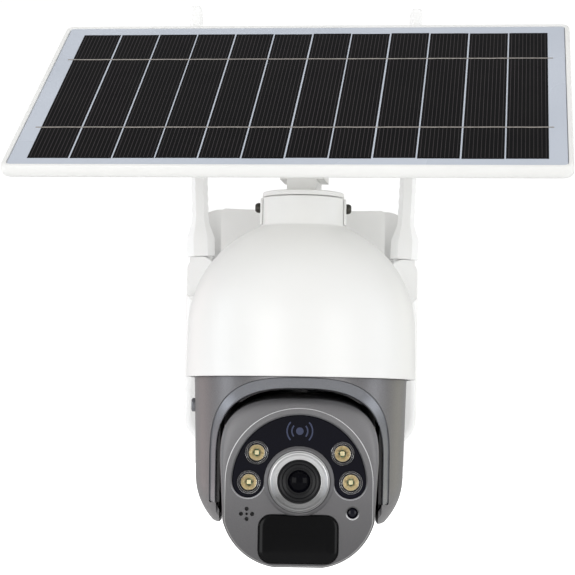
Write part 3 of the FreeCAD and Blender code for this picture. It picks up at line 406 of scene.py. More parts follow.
def surface(name, tones, roughness, metallic=0.0, grain_size=900, patch_size=14, bump=0.02, coat=0.0,
            coat_roughness=0.1, specular=0.5, grain_shows=False, heights=None):
    """Moulded, painted or machined finish with grain in its colour, roughness and relief; with heights
    given, painted light and shade ramp its colour by height.
    """
    material, nodes, links, shader = new_material(name)
    grain = grain_node(nodes, grain_size, patch_size)
    tone_mask = grain.outputs["Grain" if grain_shows else "Patch"]
    tone = between(nodes, links, tone_mask, 0.0, 1.0)
    # With heights given, the colour ramps by height from the first tone to the second: painted light and
    # shade.
    if heights:
        rise = nodes.new("ShaderNodeGroup")
        rise.node_tree = PAINTED_LIGHT_RAMP
        rise.inputs["Low"].default_value, rise.inputs["High"].default_value = heights
        tone = weigh(nodes, links, 0.25, rise.outputs["Height"], tone)
    links.new(blend_colour(nodes, links, tone, *tones), shader.inputs["Base Color"])
    links.new(between(nodes, links, grain.outputs["Patch"], *roughness), shader.inputs["Roughness"])
    shader.inputs["Metallic"].default_value = metallic
    shader.inputs["Coat Weight"].default_value = coat
    shader.inputs["Coat Roughness"].default_value = coat_roughness
    shader.inputs["Specular IOR Level"].default_value = specular
    relief = nodes.new("ShaderNodeBump")
    relief.inputs["Strength"].default_value = bump
    relief.inputs["Distance"].default_value = 0.0002
    links.new(grain.outputs["Grain"], relief.inputs["Height"])
    links.new(relief.outputs["Normal"], shader.inputs["Normal"])
    return material


def clear_surface(name, tint, roughness, ior):
    """Clear moulded plastic or glass with a slightly uneven polish."""
    material, nodes, links, shader = new_material(name)
    grain = grain_node(nodes, 600, 40)
    shader.inputs["Base Color"].default_value = (*tint, 1)
    links.new(between(nodes, links, grain.outputs["Patch"], *roughness), shader.inputs["Roughness"])
    shader.inputs["Transmission Weight"].default_value = 1.0
    shader.inputs["IOR"].default_value = ior
    return material


WHITE = surface("white_moulding", ((0.8, 0.8, 0.785), (0.83, 0.83, 0.815)), (0.34, 0.46), bump=0.03)
# The same white moulding as the dome, painted brighter for the wall tray, battery cover, arm, knuckles and
# antennas: painted light.
WHITE_PAINTED_BRIGHTER = surface("white_moulding_painted_brighter", ((0.89, 0.89, 0.88), (0.92, 0.92, 0.91)), (0.34, 0.46),
                     bump=0.03)
WHITE_FRAME = surface("white_frame_moulding", ((0.8, 0.8, 0.78), (0.83, 0.83, 0.81)), (0.32, 0.42),
                      bump=0.03)
GREY = surface("grey_metallic_paint", ((0.125, 0.122, 0.126), (0.19, 0.186, 0.19)), (0.36, 0.44),
               metallic=0.7, grain_size=2600, bump=0.06, coat=0.12, coat_roughness=0.25, grain_shows=True)
# Grey face paint, darker towards the bottom of the face: painted shade.
FACE_GREY_PAINTED_SHADE = surface("face_paint_painted_shade", ((0.085, 0.083, 0.086), (0.19, 0.187, 0.192)), (0.42, 0.52),
                    metallic=0.5, grain_size=2600, bump=0.06, grain_shows=True, heights=(-0.135, -0.05))
# Grey metallic paint of the rim and button, made lighter and bluer than the yoke's: painted highlight.
RIM_GREY_PAINTED_HIGHLIGHT = surface("rim_paint_painted_highlight", ((0.16, 0.164, 0.178), (0.215, 0.219, 0.233)), (0.3, 0.38),
                   metallic=0.7, grain_size=2600, bump=0.05, coat=0.1, coat_roughness=0.2, grain_shows=True)
BLACK_GLOSS = surface("black_gloss_window", ((0.0015, 0.0015, 0.004), (0.003, 0.003, 0.008)), (0.05, 0.1),
                      bump=0.0, specular=0.2)
PIR_BLACK = surface("motion_window_black", ((0.0012, 0.0012, 0.0014), (0.0025, 0.0025, 0.0028)),
                    (0.07, 0.12), bump=0.0, specular=0.12)
LENS_BLACK = surface("lens_black", ((0.003, 0.003, 0.0035), (0.008, 0.008, 0.009)), (0.3, 0.42), bump=0.02,
                     specular=0.25)
# Satin ring metal, dark on its lower half and bright on its upper half: painted shade and painted
# highlight.
SATIN_METAL_PAINTED_LIGHT = surface("turned_satin_metal_painted_light", ((0.14, 0.14, 0.14), (0.8, 0.8, 0.8)), (0.26, 0.36),
                      metallic=0.9, grain_size=3000, bump=0.04, heights=(-0.094, -0.07))
# Fine face edge, bright along the top and dark towards the bottom: painted highlight.
FACE_EDGE_PAINTED_HIGHLIGHT = surface("face_edge_painted_highlight", ((0.16, 0.157, 0.15), (0.9, 0.9, 0.91)), (0.3, 0.4),
                      metallic=0.6, bump=0.0, heights=(-0.1, -0.055))
# Lamp window's edge, bright at its lower ends and dark above: painted highlight.
WINDOW_EDGE_PAINTED_HIGHLIGHT = surface("window_edge_painted_highlight", ((0.8, 0.8, 0.82), (0.13, 0.13, 0.135)), (0.3, 0.4),
                      metallic=0.6, bump=0.0, heights=(-0.0925, -0.082))
# Light sensor's edge, bright round its lower rim and dark above: painted highlight.
SENSOR_EDGE_PAINTED_HIGHLIGHT = surface("sensor_edge_painted_highlight", ((0.85, 0.85, 0.86), (0.1, 0.1, 0.1)), (0.3, 0.4),
                      metallic=0.6, bump=0.0, heights=(-0.1025, -0.0995))
CHROME = surface("plated_reflector", ((0.8, 0.78, 0.74), (0.86, 0.84, 0.8)), (0.08, 0.16), metallic=1.0,
                 bump=0.0)
GOLD_CUP = surface("warm_reflector", ((0.62, 0.5, 0.29), (0.78, 0.66, 0.42)), (0.3, 0.42),
                   metallic=0.35, bump=0.01)
CHIP = surface("lamp_phosphor", ((0.72, 0.64, 0.38), (0.85, 0.78, 0.5)), (0.5, 0.6), bump=0.02)
DARK_STEEL = surface("dark_screw_steel", ((0.05, 0.048, 0.042), (0.09, 0.086, 0.075)), (0.3, 0.42),
                     metallic=0.9)
STEEL = surface("zinc_steel", ((0.45, 0.45, 0.44), (0.58, 0.58, 0.57)), (0.3, 0.42), metallic=1.0,
                grain_size=1800)
BRASS = surface("turned_brass", ((0.55, 0.4, 0.16), (0.66, 0.5, 0.22)), (0.25, 0.38), metallic=1.0)
ACETAL = surface("natural_acetal", ((0.7, 0.69, 0.62), (0.76, 0.75, 0.68)), (0.35, 0.5))
BOARD = surface("green_circuit_board", ((0.01, 0.09, 0.035), (0.02, 0.14, 0.06)), (0.3, 0.45),
                patch_size=260)
SLEEVE = surface("cell_sleeve", ((0.02, 0.12, 0.4), (0.03, 0.16, 0.5)), (0.18, 0.3))
BLACK_PLASTIC = surface("black_moulding", ((0.02, 0.02, 0.02), (0.035, 0.035, 0.035)), (0.4, 0.55),
                        bump=0.06)
RUBBER = surface("black_rubber", ((0.015, 0.015, 0.015), (0.03, 0.03, 0.03)), (0.65, 0.8), bump=0.1)
BACK_SHEET = surface("pale_back_sheet", ((0.48, 0.52, 0.59), (0.52, 0.56, 0.63)), (0.22, 0.3), specular=0.2)
CELL = surface("dark_silicon", ((0.0008, 0.0008, 0.001), (0.002, 0.002, 0.0026)), (0.35, 0.45),
               patch_size=60, bump=0.0, specular=0.02)
FINGER = surface("printed_silver", ((0.03, 0.026, 0.028), (0.05, 0.042, 0.046)), (0.4, 0.5), specular=0.05)
RIBBON = surface("tinned_ribbon", ((0.26, 0.24, 0.22), (0.4, 0.37, 0.34)), (0.35, 0.5), metallic=0.3,
                 grain_size=500, specular=0.2, grain_shows=True)
PRINT = surface("printed_symbol", ((0.05, 0.058, 0.1), (0.06, 0.07, 0.115)), (0.4, 0.5), specular=0.1)
RING_DARK = surface("smoked_ring", ((0.03, 0.03, 0.033), (0.06, 0.06, 0.066)), (0.08, 0.16),
                    metallic=0.6, bump=0.0)
LED_CLEAR = clear_surface("clear_lamp_lens", (1, 1, 1), (0.02, 0.06), ior=1.12)
LENS_COATED = surface("coated_lens_glass", ((0.001, 0.001, 0.0015), (0.002, 0.002, 0.004)), (0.02, 0.05),
                      bump=0.0, specular=0.06)

# Finishes of the pieces kept from the frame
NODE_FINISH = {
    WHITE_PAINTED_BRIGHTER: ("wall_tray", "battery_cover", "arm_bracket", "antenna_knuckle_left",
                 "antenna_knuckle_right"),
    WHITE: ("panel_post", "panel_bracket"),
    GREY: ("cheek_covers", "head_rear"),
    BLACK_PLASTIC: ("battery_holder", "cable_gland", "neck_insert", "dome_chassis", "speaker", "hinge_knob",
                    "junction_box", "microphone"),
    RUBBER: ("box_seal",),
    SLEEVE: ("battery_cells",),
    BOARD: ("charge_board", "main_board", "button_switch", "led_board", "sensor_board"),
    STEEL: ("housing_screws", "pan_motor", "tilt_motor", "head_screws", "pir_sensor", "swivel_bolt",
            "hinge_bolt", "bracket_screws"),
    BRASS: ("pan_pinion", "tilt_pinion"),
    ACETAL: ("pan_bearing", "pan_gear", "tilt_bushes", "pan_hub", "tilt_axles", "tilt_gear"),
}
for finish_material, node_names in NODE_FINISH.items():
    for node_name in node_names:
        paint(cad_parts[node_name], finish_material)


# ---------------------------------------------------------------- dome and neck

def arc_points(centre, radii, start, end, count):
    """Points on an ellipse between two angles in degrees, both included."""
    points = []
    for index in range(count):
        angle = math.radians(start + (end - start) * index / (count - 1))
        points.append((centre[0] + radii[0] * math.cos(angle), centre[1] + radii[1] * math.sin(angle)))
    return points


def dome_curve(grow, stop_r, count):
    """Dome from its shoulder up to a radius."""
    shoulder = SHOULDER_R + grow
    end = math.degrees(math.acos(stop_r / shoulder))
    return arc_points((0, SHOULDER_Z), (shoulder, DOME_RISE + grow), 0, end, count)


def make_dome():
    """Dome and neck in one moulding with a softened rim, and a raised pad at each neck screw."""
    outer = [(DOME_R - 0.4, 0.0), (DOME_R, 0.4)] + dome_curve(0, NECK_R + 0.9, 40)
    top_z = outer[-1][1]
    outer += [(NECK_R + 0.35, top_z + 0.5), (NECK_R, top_z + 1.2)]
    outer += [(NECK_R, NECK_TOP - 0.5), (NECK_R - 0.4, NECK_TOP), (5.1, NECK_TOP), (5.1, NECK_TOP - SKIN)]
    inner = [(NECK_R - SKIN, NECK_TOP - SKIN)] + list(reversed(dome_curve(-SKIN, NECK_R - SKIN, 30)))
    inner += [(DOME_R - SKIN, 0.4), (DOME_R - SKIN, 0.0)]
    dome = turn("dome", outer + inner, steps=144)
    for _, sign in SIDES:
        hole = add_rod("screw_hole", 1.6, (sign * (NECK_R + 2), 0, SCREW_Z), "X", -sign * 12, sides=32)
        dome = carve(dome, hole)
    deliver(dome, "housing", WHITE, ("dome_shell",))
    for side, sign in SIDES:
        pad = add_block("neck_flange_" + side, sorted((sign * (NECK_R - 1.1), sign * (NECK_R + 0.2))),
                        (-8.0, 8.0), (82.5, NECK_TOP - 0.5))
        soften(pad, 0.3)
        deliver(pad, "housing", WHITE)


def make_neck_screws():
    """Dark pan-head screws with a cross recess."""
    screws = []
    profile = [(0, 3.0), (1.6, 2.9), (2.3, 2.4), (2.7, 1.5), (2.75, 0.3), (1.5, 0.0), (1.5, -8.5),
               (0, -9.0)]
    for side, sign in SIDES:
        seated = [(radius, sign * (NECK_R + 0.2 + height)) for radius, height in profile]
        screw = turn("neck_screw_" + side, seated, (0, 0, SCREW_Z), "X", steps=40, closed=False)
        for width, height in ((0.55, 3.0), (3.0, 0.55)):
            start = sign * (NECK_R + 2.2)
            slot = add_block("cross", sorted((start, start + sign * 2)), (-width / 2, width / 2),
                             (SCREW_Z - height / 2, SCREW_Z + height / 2))
            screw = carve(screw, slot)
        screws.append(screw)
    screws = merge("neck_screw_pair", screws)
    deliver(screws, "housing", DARK_STEEL, ("neck_screws",))


def make_swivel_disc():
    low = NECK_TOP + 0.4
    profile = [(5.0, low), (21.6, low), (22.1, low + 0.4), (22.1, low + 2.2), (21.7, low + 2.7),
               (20.6, low + 2.95), (5.0, low + 3.2)]
    disc = turn("mount_disc", profile, steps=96)
    deliver(disc, "panel_mount", WHITE, ("swivel_disc",))


# ---------------------------------------------------------------- yoke

def yoke_radius(z):
    """Outside radius of the yoke at a height."""
    if z > -50:
        return YOKE_R + (YOKE_LOW_R - YOKE_R) * (z + 1) / -49
    drop = (z + 50) / -26
    return YOKE_LOW_R - 9.6 * drop ** 2.4


def crown_points(half, spring_z, rise, power, steps):
    """Squared half-ellipse from right to left, both feet included."""
    points = []
    for index in range(steps + 1):
        angle = math.pi * index / steps
        across, up = math.cos(angle), math.sin(angle)
        reach = (abs(across / half) ** power + abs(up / rise) ** power) ** (-1 / power)
        points.append((reach * across, spring_z + reach * up))
    return points


def arch_path(crown, foot_z, steps):
    """Opening's outline as (x, z): up the right leg, over and down the left leg."""
    legs = 8
    half, spring_z = crown[:2]
    right = [(half, foot_z + (spring_z - foot_z) * index / legs) for index in range(legs)]
    left = [(-x, z) for x, z in reversed(right)]
    return right + crown_points(*crown, steps) + left


def prism(name, outline, y):
    """Outline of (x, z) points pulled from one depth to another."""
    return grow_through(name, [[(x, y[0], z) for x, z in outline], [(x, y[1], z) for x, z in outline]])


def head_drum():
    """Room that the head sweeps as it tilts."""
    return add_rod("drum", HEAD_R + 0.8, (-CHEEK_X, 0, TILT_Z), "X", 2 * CHEEK_X, sides=128)


def make_yoke():
    """Housing turned about the neck axis, opened for the head and hollowed in its cheeks."""
    heights = [-50 - 26 * index / 14 for index in range(15)]
    profile = [(0, YOKE_TOP), (YOKE_R - 0.4, YOKE_TOP), (YOKE_R, YOKE_TOP - 0.4)]
    profile += [(yoke_radius(z), z) for z in heights]
    profile += [(yoke_radius(-76) - 1.2, -76.6), (0, -76.6)]
    yoke = turn("yoke_housing", profile, steps=144, closed=False)
    carve(yoke, head_drum())
    carve(yoke, add_block("below", (-CHEEK_X, CHEEK_X), (-62, 62), (-95, -56)))
    carve(yoke, prism("opening", arch_path(ARCH, -90, CROWN_STEPS), (-65, 0)))
    carve(yoke, prism("leg_trim", arch_path(RIM_INSIDE, -90, CROWN_STEPS), (-65, RIM_BACK_Y)))
    rim_seat = arch_path(RIM_OUTSIDE, RIM_FOOT_Z, CROWN_STEPS)
    carve(yoke, prism("rim_seat", rim_seat, (-65, RIM_BACK_Y)))
    inside = [(0, -6), (YOKE_R - SKIN, -6)]
    inside += [(yoke_radius(z) - SKIN, z) for z in (-30, -50, -56, -62, -68, -72)] + [(0, -72)]
    for _, sign in SIDES:
        pocket = turn("pocket", inside, closed=False)
        half = add_block("half", sorted((sign * CHEEK_X, sign * 70)), (-70, 70), (-80, 0))
        carve(pocket, half, "INTERSECT")
        carve(yoke, pocket)
    carve(yoke, add_rod("hub_hole", 12.0, (0, 0, -8), "Z", 12))
    carve(yoke, add_rod("hub_seat", 17.0, (0, 0, -3), "Z", 5))
    carve(yoke, add_rod("button_hole", 4.0, (-62, 0, BUTTON_Z), "X", 10, sides=48))
    for y, z in ((0, -46), (4, -46), (-4, -46), (0, -42), (0, -50)):
        carve(yoke, add_rod("sound_hole", 0.9, (-60, y, z), "X", 8, sides=20))
    deliver(yoke, "yoke", GREY, ("yoke_shell",))


def rim_front(x, z, sink):
    """Depth of the yoke's outside at (x, z), set back by sink."""
    reach = max(yoke_radius(z) ** 2 - x ** 2, 0)
    return sink - math.sqrt(reach)


def make_rim():
    """Trim round the opening: a sloping band between two fine edges."""
    inner_path = arch_path(RIM_INSIDE, RIM_FOOT_Z + 0.1, CROWN_STEPS)
    outer_path = arch_path(RIM_OUTSIDE, RIM_FOOT_Z + 0.1, CROWN_STEPS)
    loops = []
    for (x_in, z_in), (x_out, z_out) in zip(inner_path, outer_path):
        width, height = x_out - x_in, z_out - z_in
        fade = min(max((z_in - RIM_FOOT_Z) / 9.0, 0.0), 1.0)
        y_out = rim_front(x_out, z_out, 0.02 + 0.08 * fade)
        y_in = rim_front(x_in, z_in, 0.1 + 1.1 * fade)
        across = ((0.99, RIM_BACK_Y), (0.99, y_out + 0.45), (0.95, y_out), (0.88, y_out + 0.12),
                  (0.16, y_in), (0.06, y_in + 0.15), (0.01, y_in + 0.8), (0.01, RIM_BACK_Y))
        loops.append([(x_in + width * share, y, z_in + height * share) for share, y in across])
    rim = grow_through("yoke_rim", loops)
    carve(rim, head_drum())
    deliver(rim, "yoke", RIM_GREY_PAINTED_HIGHLIGHT, ("yoke_bezel",), angle=28)


def make_power_button():
    profile = [(0, -58.45), (2.6, -58.6), (3.3, -58.4), (3.7, -57.9), (3.7, -53.7), (4.7, -53.7),
               (4.7, -52.7), (0, -52.7)]
    button = turn("power_button_cap", profile, (0, 0, BUTTON_Z), "X", steps=48, closed=False)
    deliver(button, "power_button", RIM_GREY_PAINTED_HIGHLIGHT, ("power_button",))


# ---------------------------------------------------------------- head

def arc_through(first, middle, last, count):
    """Points on the circle through three points, without the last."""
    (ax, az), (bx, bz), (cx, cz) = first, middle, last
    scale = 2 * (ax * (bz - cz) + bx * (cz - az) + cx * (az - bz))
    squares = [x * x + z * z for x, z in (first, middle, last)]
    ux = (squares[0] * (bz - cz) + squares[1] * (cz - az) + squares[2] * (az - bz)) / scale
    uz = (squares[0] * (cx - bx) + squares[1] * (ax - cx) + squares[2] * (bx - ax)) / scale
    radius = math.hypot(ax - ux, az - uz)
    start = math.atan2(az - uz, ax - ux)
    end = math.atan2(cz - uz, cx - ux)
    while end > start:
        end -= 2 * math.pi
    return [(ux + radius * math.cos(start + (end - start) * index / count),
             uz + radius * math.sin(start + (end - start) * index / count)) for index in range(count)]


def head_outline(section, inset=0.0):
    """Head seen from the front, from its left foot over the top and round the bottom."""
    half, foot_half, spring_z, rise, power, bottom = section
    width, foot_width, floor = half - inset, foot_half - inset, bottom + inset
    arc = crown_points(width, spring_z, rise - inset, power, 96)
    legs = 6
    side = [(foot_width + (width - foot_width) * index / legs,
             FACE_SIDE_Z + (spring_z - FACE_SIDE_Z) * index / legs) for index in range(legs)]
    mid = (foot_width * 0.797, FACE_SIDE_Z + (floor - FACE_SIDE_Z) * 0.592)
    corner = arc_through((foot_width, FACE_SIDE_Z), mid, (FACE_FLAT, floor), 20)
    right = list(reversed(side)) + corner[1:] + [(FACE_FLAT, floor)]
    base = [(FACE_FLAT * (1 - index / 4), floor) for index in range(1, 4)]
    left = [(-x, z) for x, z in reversed(right)]
    base_left = [(-x, z) for x, z in reversed(base)]
    return list(reversed(arc)) + right + base + [(0, floor)] + base_left + left


def between_outlines(first, last, share):
    return [(ax + (bx - ax) * share, az + (bz - az) * share) for (ax, az), (bx, bz) in zip(first, last)]


def crescent(grow):
    """Outline of the lamp window: a half ring with round ends, as (x, z)."""
    centre_z = TILT_Z - 0.4
    middle_r = (WINDOW_INNER + WINDOW_OUTER) / 2
    end_r = (WINDOW_OUTER - WINDOW_INNER) / 2 + grow
    outer = arc_points((0, centre_z), (WINDOW_OUTER + grow,) * 2, 0, 180, 49)
    left_end = arc_points((-middle_r, centre_z), (end_r, end_r), 180, 360, 17)[1:-1]
    inner = arc_points((0, centre_z), (WINDOW_INNER - grow,) * 2, 180, 0, 33)
    right_end = arc_points((middle_r, centre_z), (end_r, end_r), 180, 360, 17)[1:-1]
    return outer + left_end + inner + right_end


def rounded_outline(half, low, high, corner, steps=8):
    """Rounded rectangle as (x, z), symmetric about x = 0."""
    points = []
    for cx, cz, start in ((half - corner, high - corner, 0), (corner - half, high - corner, 90),
                          (corner - half, low + corner, 180), (half - corner, low + corner, 270)):
        points += arc_points((cx, cz), (corner, corner), start, start + 90, steps)
    return points


def motion_outline(grow):
    return rounded_outline(20.4 + grow, -95.9 - grow, -71.4 + grow, 6.4 + grow)


def flared_cutter(name, outline_of, flare, depth):
    """Cutter for a hole in the face whose mouth opens out."""
    rings = ((flare + 0.5, FACE_Y - 0.5), (flare, FACE_Y), (0.12, FACE_Y + flare), (0.12, FACE_Y + depth))
    return grow_through(name, [[(x, y, z) for x, z in outline_of(grow)] for grow, y in rings])


def make_head_front():
    """Front half of the head: a flat face with a fine edge, bright along its top as painted highlight,
    flaring back to the tilt axis.
    """
    sections = (FACE_SECTION, SHOULDER_SECTION, AXIS_SECTION)
    face, shoulder, axis = (head_outline(section) for section in sections)
    loops = [[(x, FACE_Y, z) for x, z in head_outline(FACE_SECTION, 0.45)],
             [(x, FACE_Y + 0.3, z) for x, z in head_outline(FACE_SECTION, 0.1)]]
    for index in range(1, 7):
        turn_share = math.radians(15 * index)
        outline = between_outlines(face, shoulder, math.sin(turn_share))
        y = FACE_Y + 0.3 + (SHOULDER_Y - FACE_Y - 0.3) * (1 - math.cos(turn_share))
        loops.append([(x, y, z) for x, z in outline])
    for share in (0.15, 0.3, 0.5, 0.75, 1.0):
        outline = between_outlines(shoulder, axis, share)
        loops.append([(x, SHOULDER_Y * (1 - share), z) for x, z in outline])
    head = grow_through("head_front_shell", loops)
    hollow = [[(x, FACE_Y + SKIN, z) for x, z in head_outline(FACE_SECTION, SKIN)],
              [(x, SHOULDER_Y + SKIN, z) for x, z in head_outline(SHOULDER_SECTION, SKIN)],
              [(x, 0.5, z) for x, z in head_outline(AXIS_SECTION, SKIN)]]
    carve(head, grow_through("hollow", hollow))
    carve(head, flared_cutter("window_cut", crescent, 0.9, 5))
    carve(head, flared_cutter("motion_cut", lambda grow: motion_outline(grow + 0.1), 0.5, 5))
    carve(head, add_rod("lens_cut", 16.0, (0, FACE_Y - 1, TILT_Z), "Y", 6, sides=96))
    sensor_hole = [(0, -0.3), (3.6, -0.3), (2.9, 0.4), (2.9, 5), (0, 5)]
    carve(head, turn("sensor_cut", sensor_hole, SENSOR_PLACE, "Y", 40, closed=False))
    for dx, dz, radius in ((0, 0, 0.45), (-2.9, 0, 0.85), (2.9, 0, 0.85), (0, -2.6, 0.85), (0, 2.6, 0.85)):
        place = (MIC_X + dx, FACE_Y - 0.5, MIC_Z + dz)
        carve(head, add_rod("mic_cut", radius + 0.25, place, "Y", 5, sides=20, top_radius=radius))
    carve(head, add_rod("axle_cut", 4.0, (-50, 0, TILT_Z), "X", 100, sides=48))
    deliver(head, "head", FACE_GREY_PAINTED_SHADE, ("head_front",), angle=24)
    edge_rings = ((0.5, -0.03), (0.28, 0.0), (0.05, 0.3), (0.2, 0.45), (0.6, 0.2))
    loops = [[(x, FACE_Y + y, z) for x, z in head_outline(FACE_SECTION, inset)] for inset, y in edge_rings]
    edge = grow_through("face_edge", loops, ring=True)
    deliver(edge, "head", FACE_EDGE_PAINTED_HIGHLIGHT)
    window_rings = ((0.86, -0.02), (0.2, 0.72), (0.32, 0.86), (1.0, 0.12))
    loops = [[(x, FACE_Y + y, z) for x, z in crescent(grow)] for grow, y in window_rings]
    window_edge = grow_through("window_edge", loops, ring=True)
    deliver(window_edge, "head", WINDOW_EDGE_PAINTED_HIGHLIGHT)
    sensor_edge = turn("sensor_edge", [(2.92, 0.3), (3.3, -0.02), (3.6, -0.02), (3.6, 0.1), (3.1, 0.5)],
                       SENSOR_PLACE, "Y", 48)
    deliver(sensor_edge, "head", SENSOR_EDGE_PAINTED_HIGHLIGHT)


def make_lamp_window():
    rings = ((-0.35, FACE_Y + 0.75), (-0.05, FACE_Y + 1.05), (-0.05, FACE_Y + 2.4))
    window = grow_through("lamp_window", [[(x, y, z) for x, z in crescent(grow)] for grow, y in rings])
    for x, z in LED_PLACES:
        carve(window, add_rod("lamp_hole", LED_R, (x, FACE_Y - 1, z), "Y", 8, sides=64))
    deliver(window, "head", BLACK_GLOSS, ("led_window",))


def make_lamps():
    """Each lamp: a clear lens in a dark collar with two bright circles, a warm bowl and its chip."""
    lenses, rings, circles, cups, bowls, chips = [], [], [], [], [], []
    for x, z in LED_PLACES:
        centre = (x, FACE_Y, z)
        ring = [(LED_R - 0.05, 2.2), (LED_R - 0.05, 0.55), (5.85, 0.3), (5.3, 0.55), (4.85, 1.0),
                (4.4, 1.5), (4.15, 1.8), (4.15, 2.2)]
        rings.append(turn("ring", ring, centre, "Y", 64))
        outer_circle = [(5.82, 0.33), (5.9, 0.25), (5.98, 0.34), (5.9, 0.5)]
        circles.append(turn("outer_circle", outer_circle, centre, "Y", 64))
        inner_circle = [(4.9, 0.98), (5.0, 0.82), (5.15, 0.74), (5.15, 0.9), (5.0, 1.1)]
        circles.append(turn("inner_circle", inner_circle, centre, "Y", 64))
        lens = [(0, 0.45), (1.5, 0.52), (3.0, 0.8), (3.9, 1.15), (4.1, 1.5), (4.1, 1.9), (0, 1.9)]
        lenses.append(turn("lens", lens, centre, "Y", 48, closed=False))
        cup = [(LED_R - 0.1, 2.3), (LED_R - 0.1, 6.0), (1.7, 6.0), (1.7, 5.8), (2.0, 5.4), (2.9, 4.1),
               (3.7, 2.9), (4.05, 2.35), (4.4, 2.3), (4.9, 2.15), (5.1, 2.3)]
        cups.append(turn("cup", cup, centre, "Y", 64))
        bowl = [(1.62, 5.7), (1.95, 5.25), (2.8, 4.0), (3.6, 2.8), (3.9, 2.3), (4.02, 2.3), (3.8, 2.85),
                (3.0, 4.05), (2.1, 5.35), (1.75, 5.85)]
        bowls.append(turn("bowl", bowl, centre, "Y", 64))
        chip = add_block("chip", (x - 1.1, x + 1.1), (FACE_Y + 4.6, FACE_Y + 5.6), (z - 1.1, z + 1.1))
        chips.append(soften(chip, 0.25))
    deliver(merge("lamp_rings", rings), "head", RING_DARK)
    deliver(merge("lamp_circles", circles), "head", CHROME)
    deliver(merge("lamp_lenses", lenses), "head", LED_CLEAR, ("led_lenses",))
    deliver(merge("lamp_cups", cups), "head", CHROME, ("led_reflectors",))
    deliver(merge("lamp_bowls", bowls), "head", GOLD_CUP)
    deliver(merge("lamp_chips", chips), "head", CHIP)


def make_symbol():
    """Generic wireless pictogram: a dot with two arcs on each side."""
    z = -28.0
    front = FACE_Y + 0.72
    dot = [(0, front), (1.95, front), (1.95, front + 0.1), (0, front + 0.1)]
    parts = [turn("dot", dot, (0, 0, z), "Y", 40, closed=False)]
    for radius, reach in ((4.1, 42), (6.6, 44)):
        for start in (-reach, 180 - reach):
            outer = arc_points((0, z), (radius + 0.38,) * 2, start, start + 2 * reach, 20)
            inner = arc_points((0, z), (radius - 0.38,) * 2, start + 2 * reach, start, 20)
            parts.append(prism("arc", outer + inner, (front, front + 0.1)))
    deliver(merge("wireless_symbol", parts), "head", PRINT)


def make_lens():
    """Painted collar, stepped satin ring with fine threads inside, black barrel and coated glass; the ring
    is dark on its lower half and bright on its upper half as painted shade and painted highlight.
    """
    centre = (0, FACE_Y, TILT_Z)
    collar = [(15.9, 5.5), (15.9, -0.9), (16.3, -1.2), (16.9, -1.2), (18.0, -0.2), (18.2, 0.02),
              (18.2, 0.1), (16.05, 0.1), (16.05, 5.5)]
    deliver(turn("lens_collar", collar, centre, "Y", 128), "head", FACE_GREY_PAINTED_SHADE)
    ring = [(11.6, 5.8), (11.35, 5.4), (11.35, -0.6)]
    for index in range(5):
        radius, y = 11.45 + index * 0.42, -0.8 - index * 0.62
        ring += [(radius, y), (radius + 0.3, y - 0.12), (radius + 0.3, y - 0.5)]
    ring += [(13.8, -4.1), (14.2, -4.6), (14.6, -4.85), (15.0, -4.7), (15.25, -4.2), (15.3, -3.4),
             (15.75, -3.1), (15.85, -2.7), (15.85, 5.8)]
    deliver(turn("lens_ring", ring, centre, "Y", 160), "head", SATIN_METAL_PAINTED_LIGHT, ("lens_bezel",))
    barrel = [(11.3, -0.3), (11.3, 7.0), (9.0, 7.0), (9.0, 23.8), (0, 23.8), (0, 4.6), (4.3, 4.6),
              (4.6, 3.4), (6.6, 3.1), (6.8, 2.0), (7.3, 1.7), (8.6, 1.5), (9.0, 0.6), (10.2, 0.2),
              (10.6, -0.3)]
    deliver(turn("lens_barrel_body", barrel, centre, "Y", 128), "head", LENS_BLACK, ("lens_barrel",))
    glass = arc_points((0, 11.0), (9.8, 9.8), -90, -48, 14) + [(6.5, 4.2), (0, 4.4)]
    deliver(turn("front_glass", glass, centre, "Y", closed=False), "head", LENS_COATED, ("lens_glass",))
    inner = [(2.4, 4.5), (2.4, 3.9), (3.4, 3.7), (3.7, 3.9), (3.7, 4.5)]
    deliver(turn("inner_lens_ring", inner, centre, "Y", 64), "head", LENS_BLACK)


def make_motion_window():
    """Gently domed glossy black window."""
    rings = ((0.0, 1.6), (0.0, -0.1), (-0.08, -0.5), (-0.3, -0.75), (-0.8, -0.92), (-2.4, -1.15),
             (-5.9, -1.4))
    loops = []
    for grow, y in rings:
        loops.append([(x, FACE_Y + y, z) for x, z in motion_outline(grow)])
    window = grow_through("motion_window", loops)
    deliver(window, "head", PIR_BLACK, ("pir_window",), angle=40)


def make_light_sensor():
    profile = [(0, 1.2), (1.6, 1.3), (2.4, 1.7), (2.75, 2.4), (2.75, 4.6), (3.5, 4.6), (3.5, 5.2),
               (0, 5.2)]
    sensor = turn("light_sensor_cap", profile, SENSOR_PLACE, "Y", 40, closed=False)
    deliver(sensor, "head", BLACK_GLOSS, ("light_sensor",))


# ---------------------------------------------------------------- solar panel

MID_X = -2.1
MID_Y = -8.9
FRAME_WIDTH = 291.4
FRAME_DEPTH = 182.2
GLASS_WIDTH = 285.7
GLASS_DEPTH = 176.5
CELLS_ACROSS = 12
CELL_PITCH = 22.25
CELL_LENGTH = 160.0
CELL_GAP = 0.8
CELL_MID_Y = -9.7
FINGERS = 10
RIBBON_PLACES = (0.227, 0.778)
RIBBON_STEPS = 48


def flat_outline(width, depth, corner, z, steps=6):
    """Rounded rectangle lying in the panel's plane."""
    half_x, half_y = width / 2 - corner, depth / 2 - corner
    points = []
    for sx, sy, start in ((1, 1, 0), (-1, 1, 90), (-1, -1, 180), (1, -1, 270)):
        centre = (MID_X + sx * half_x, MID_Y + sy * half_y)
        corner_points = arc_points(centre, (corner, corner), start, start + 90, steps)
        points += [(x, y, z) for x, y in corner_points]
    return points


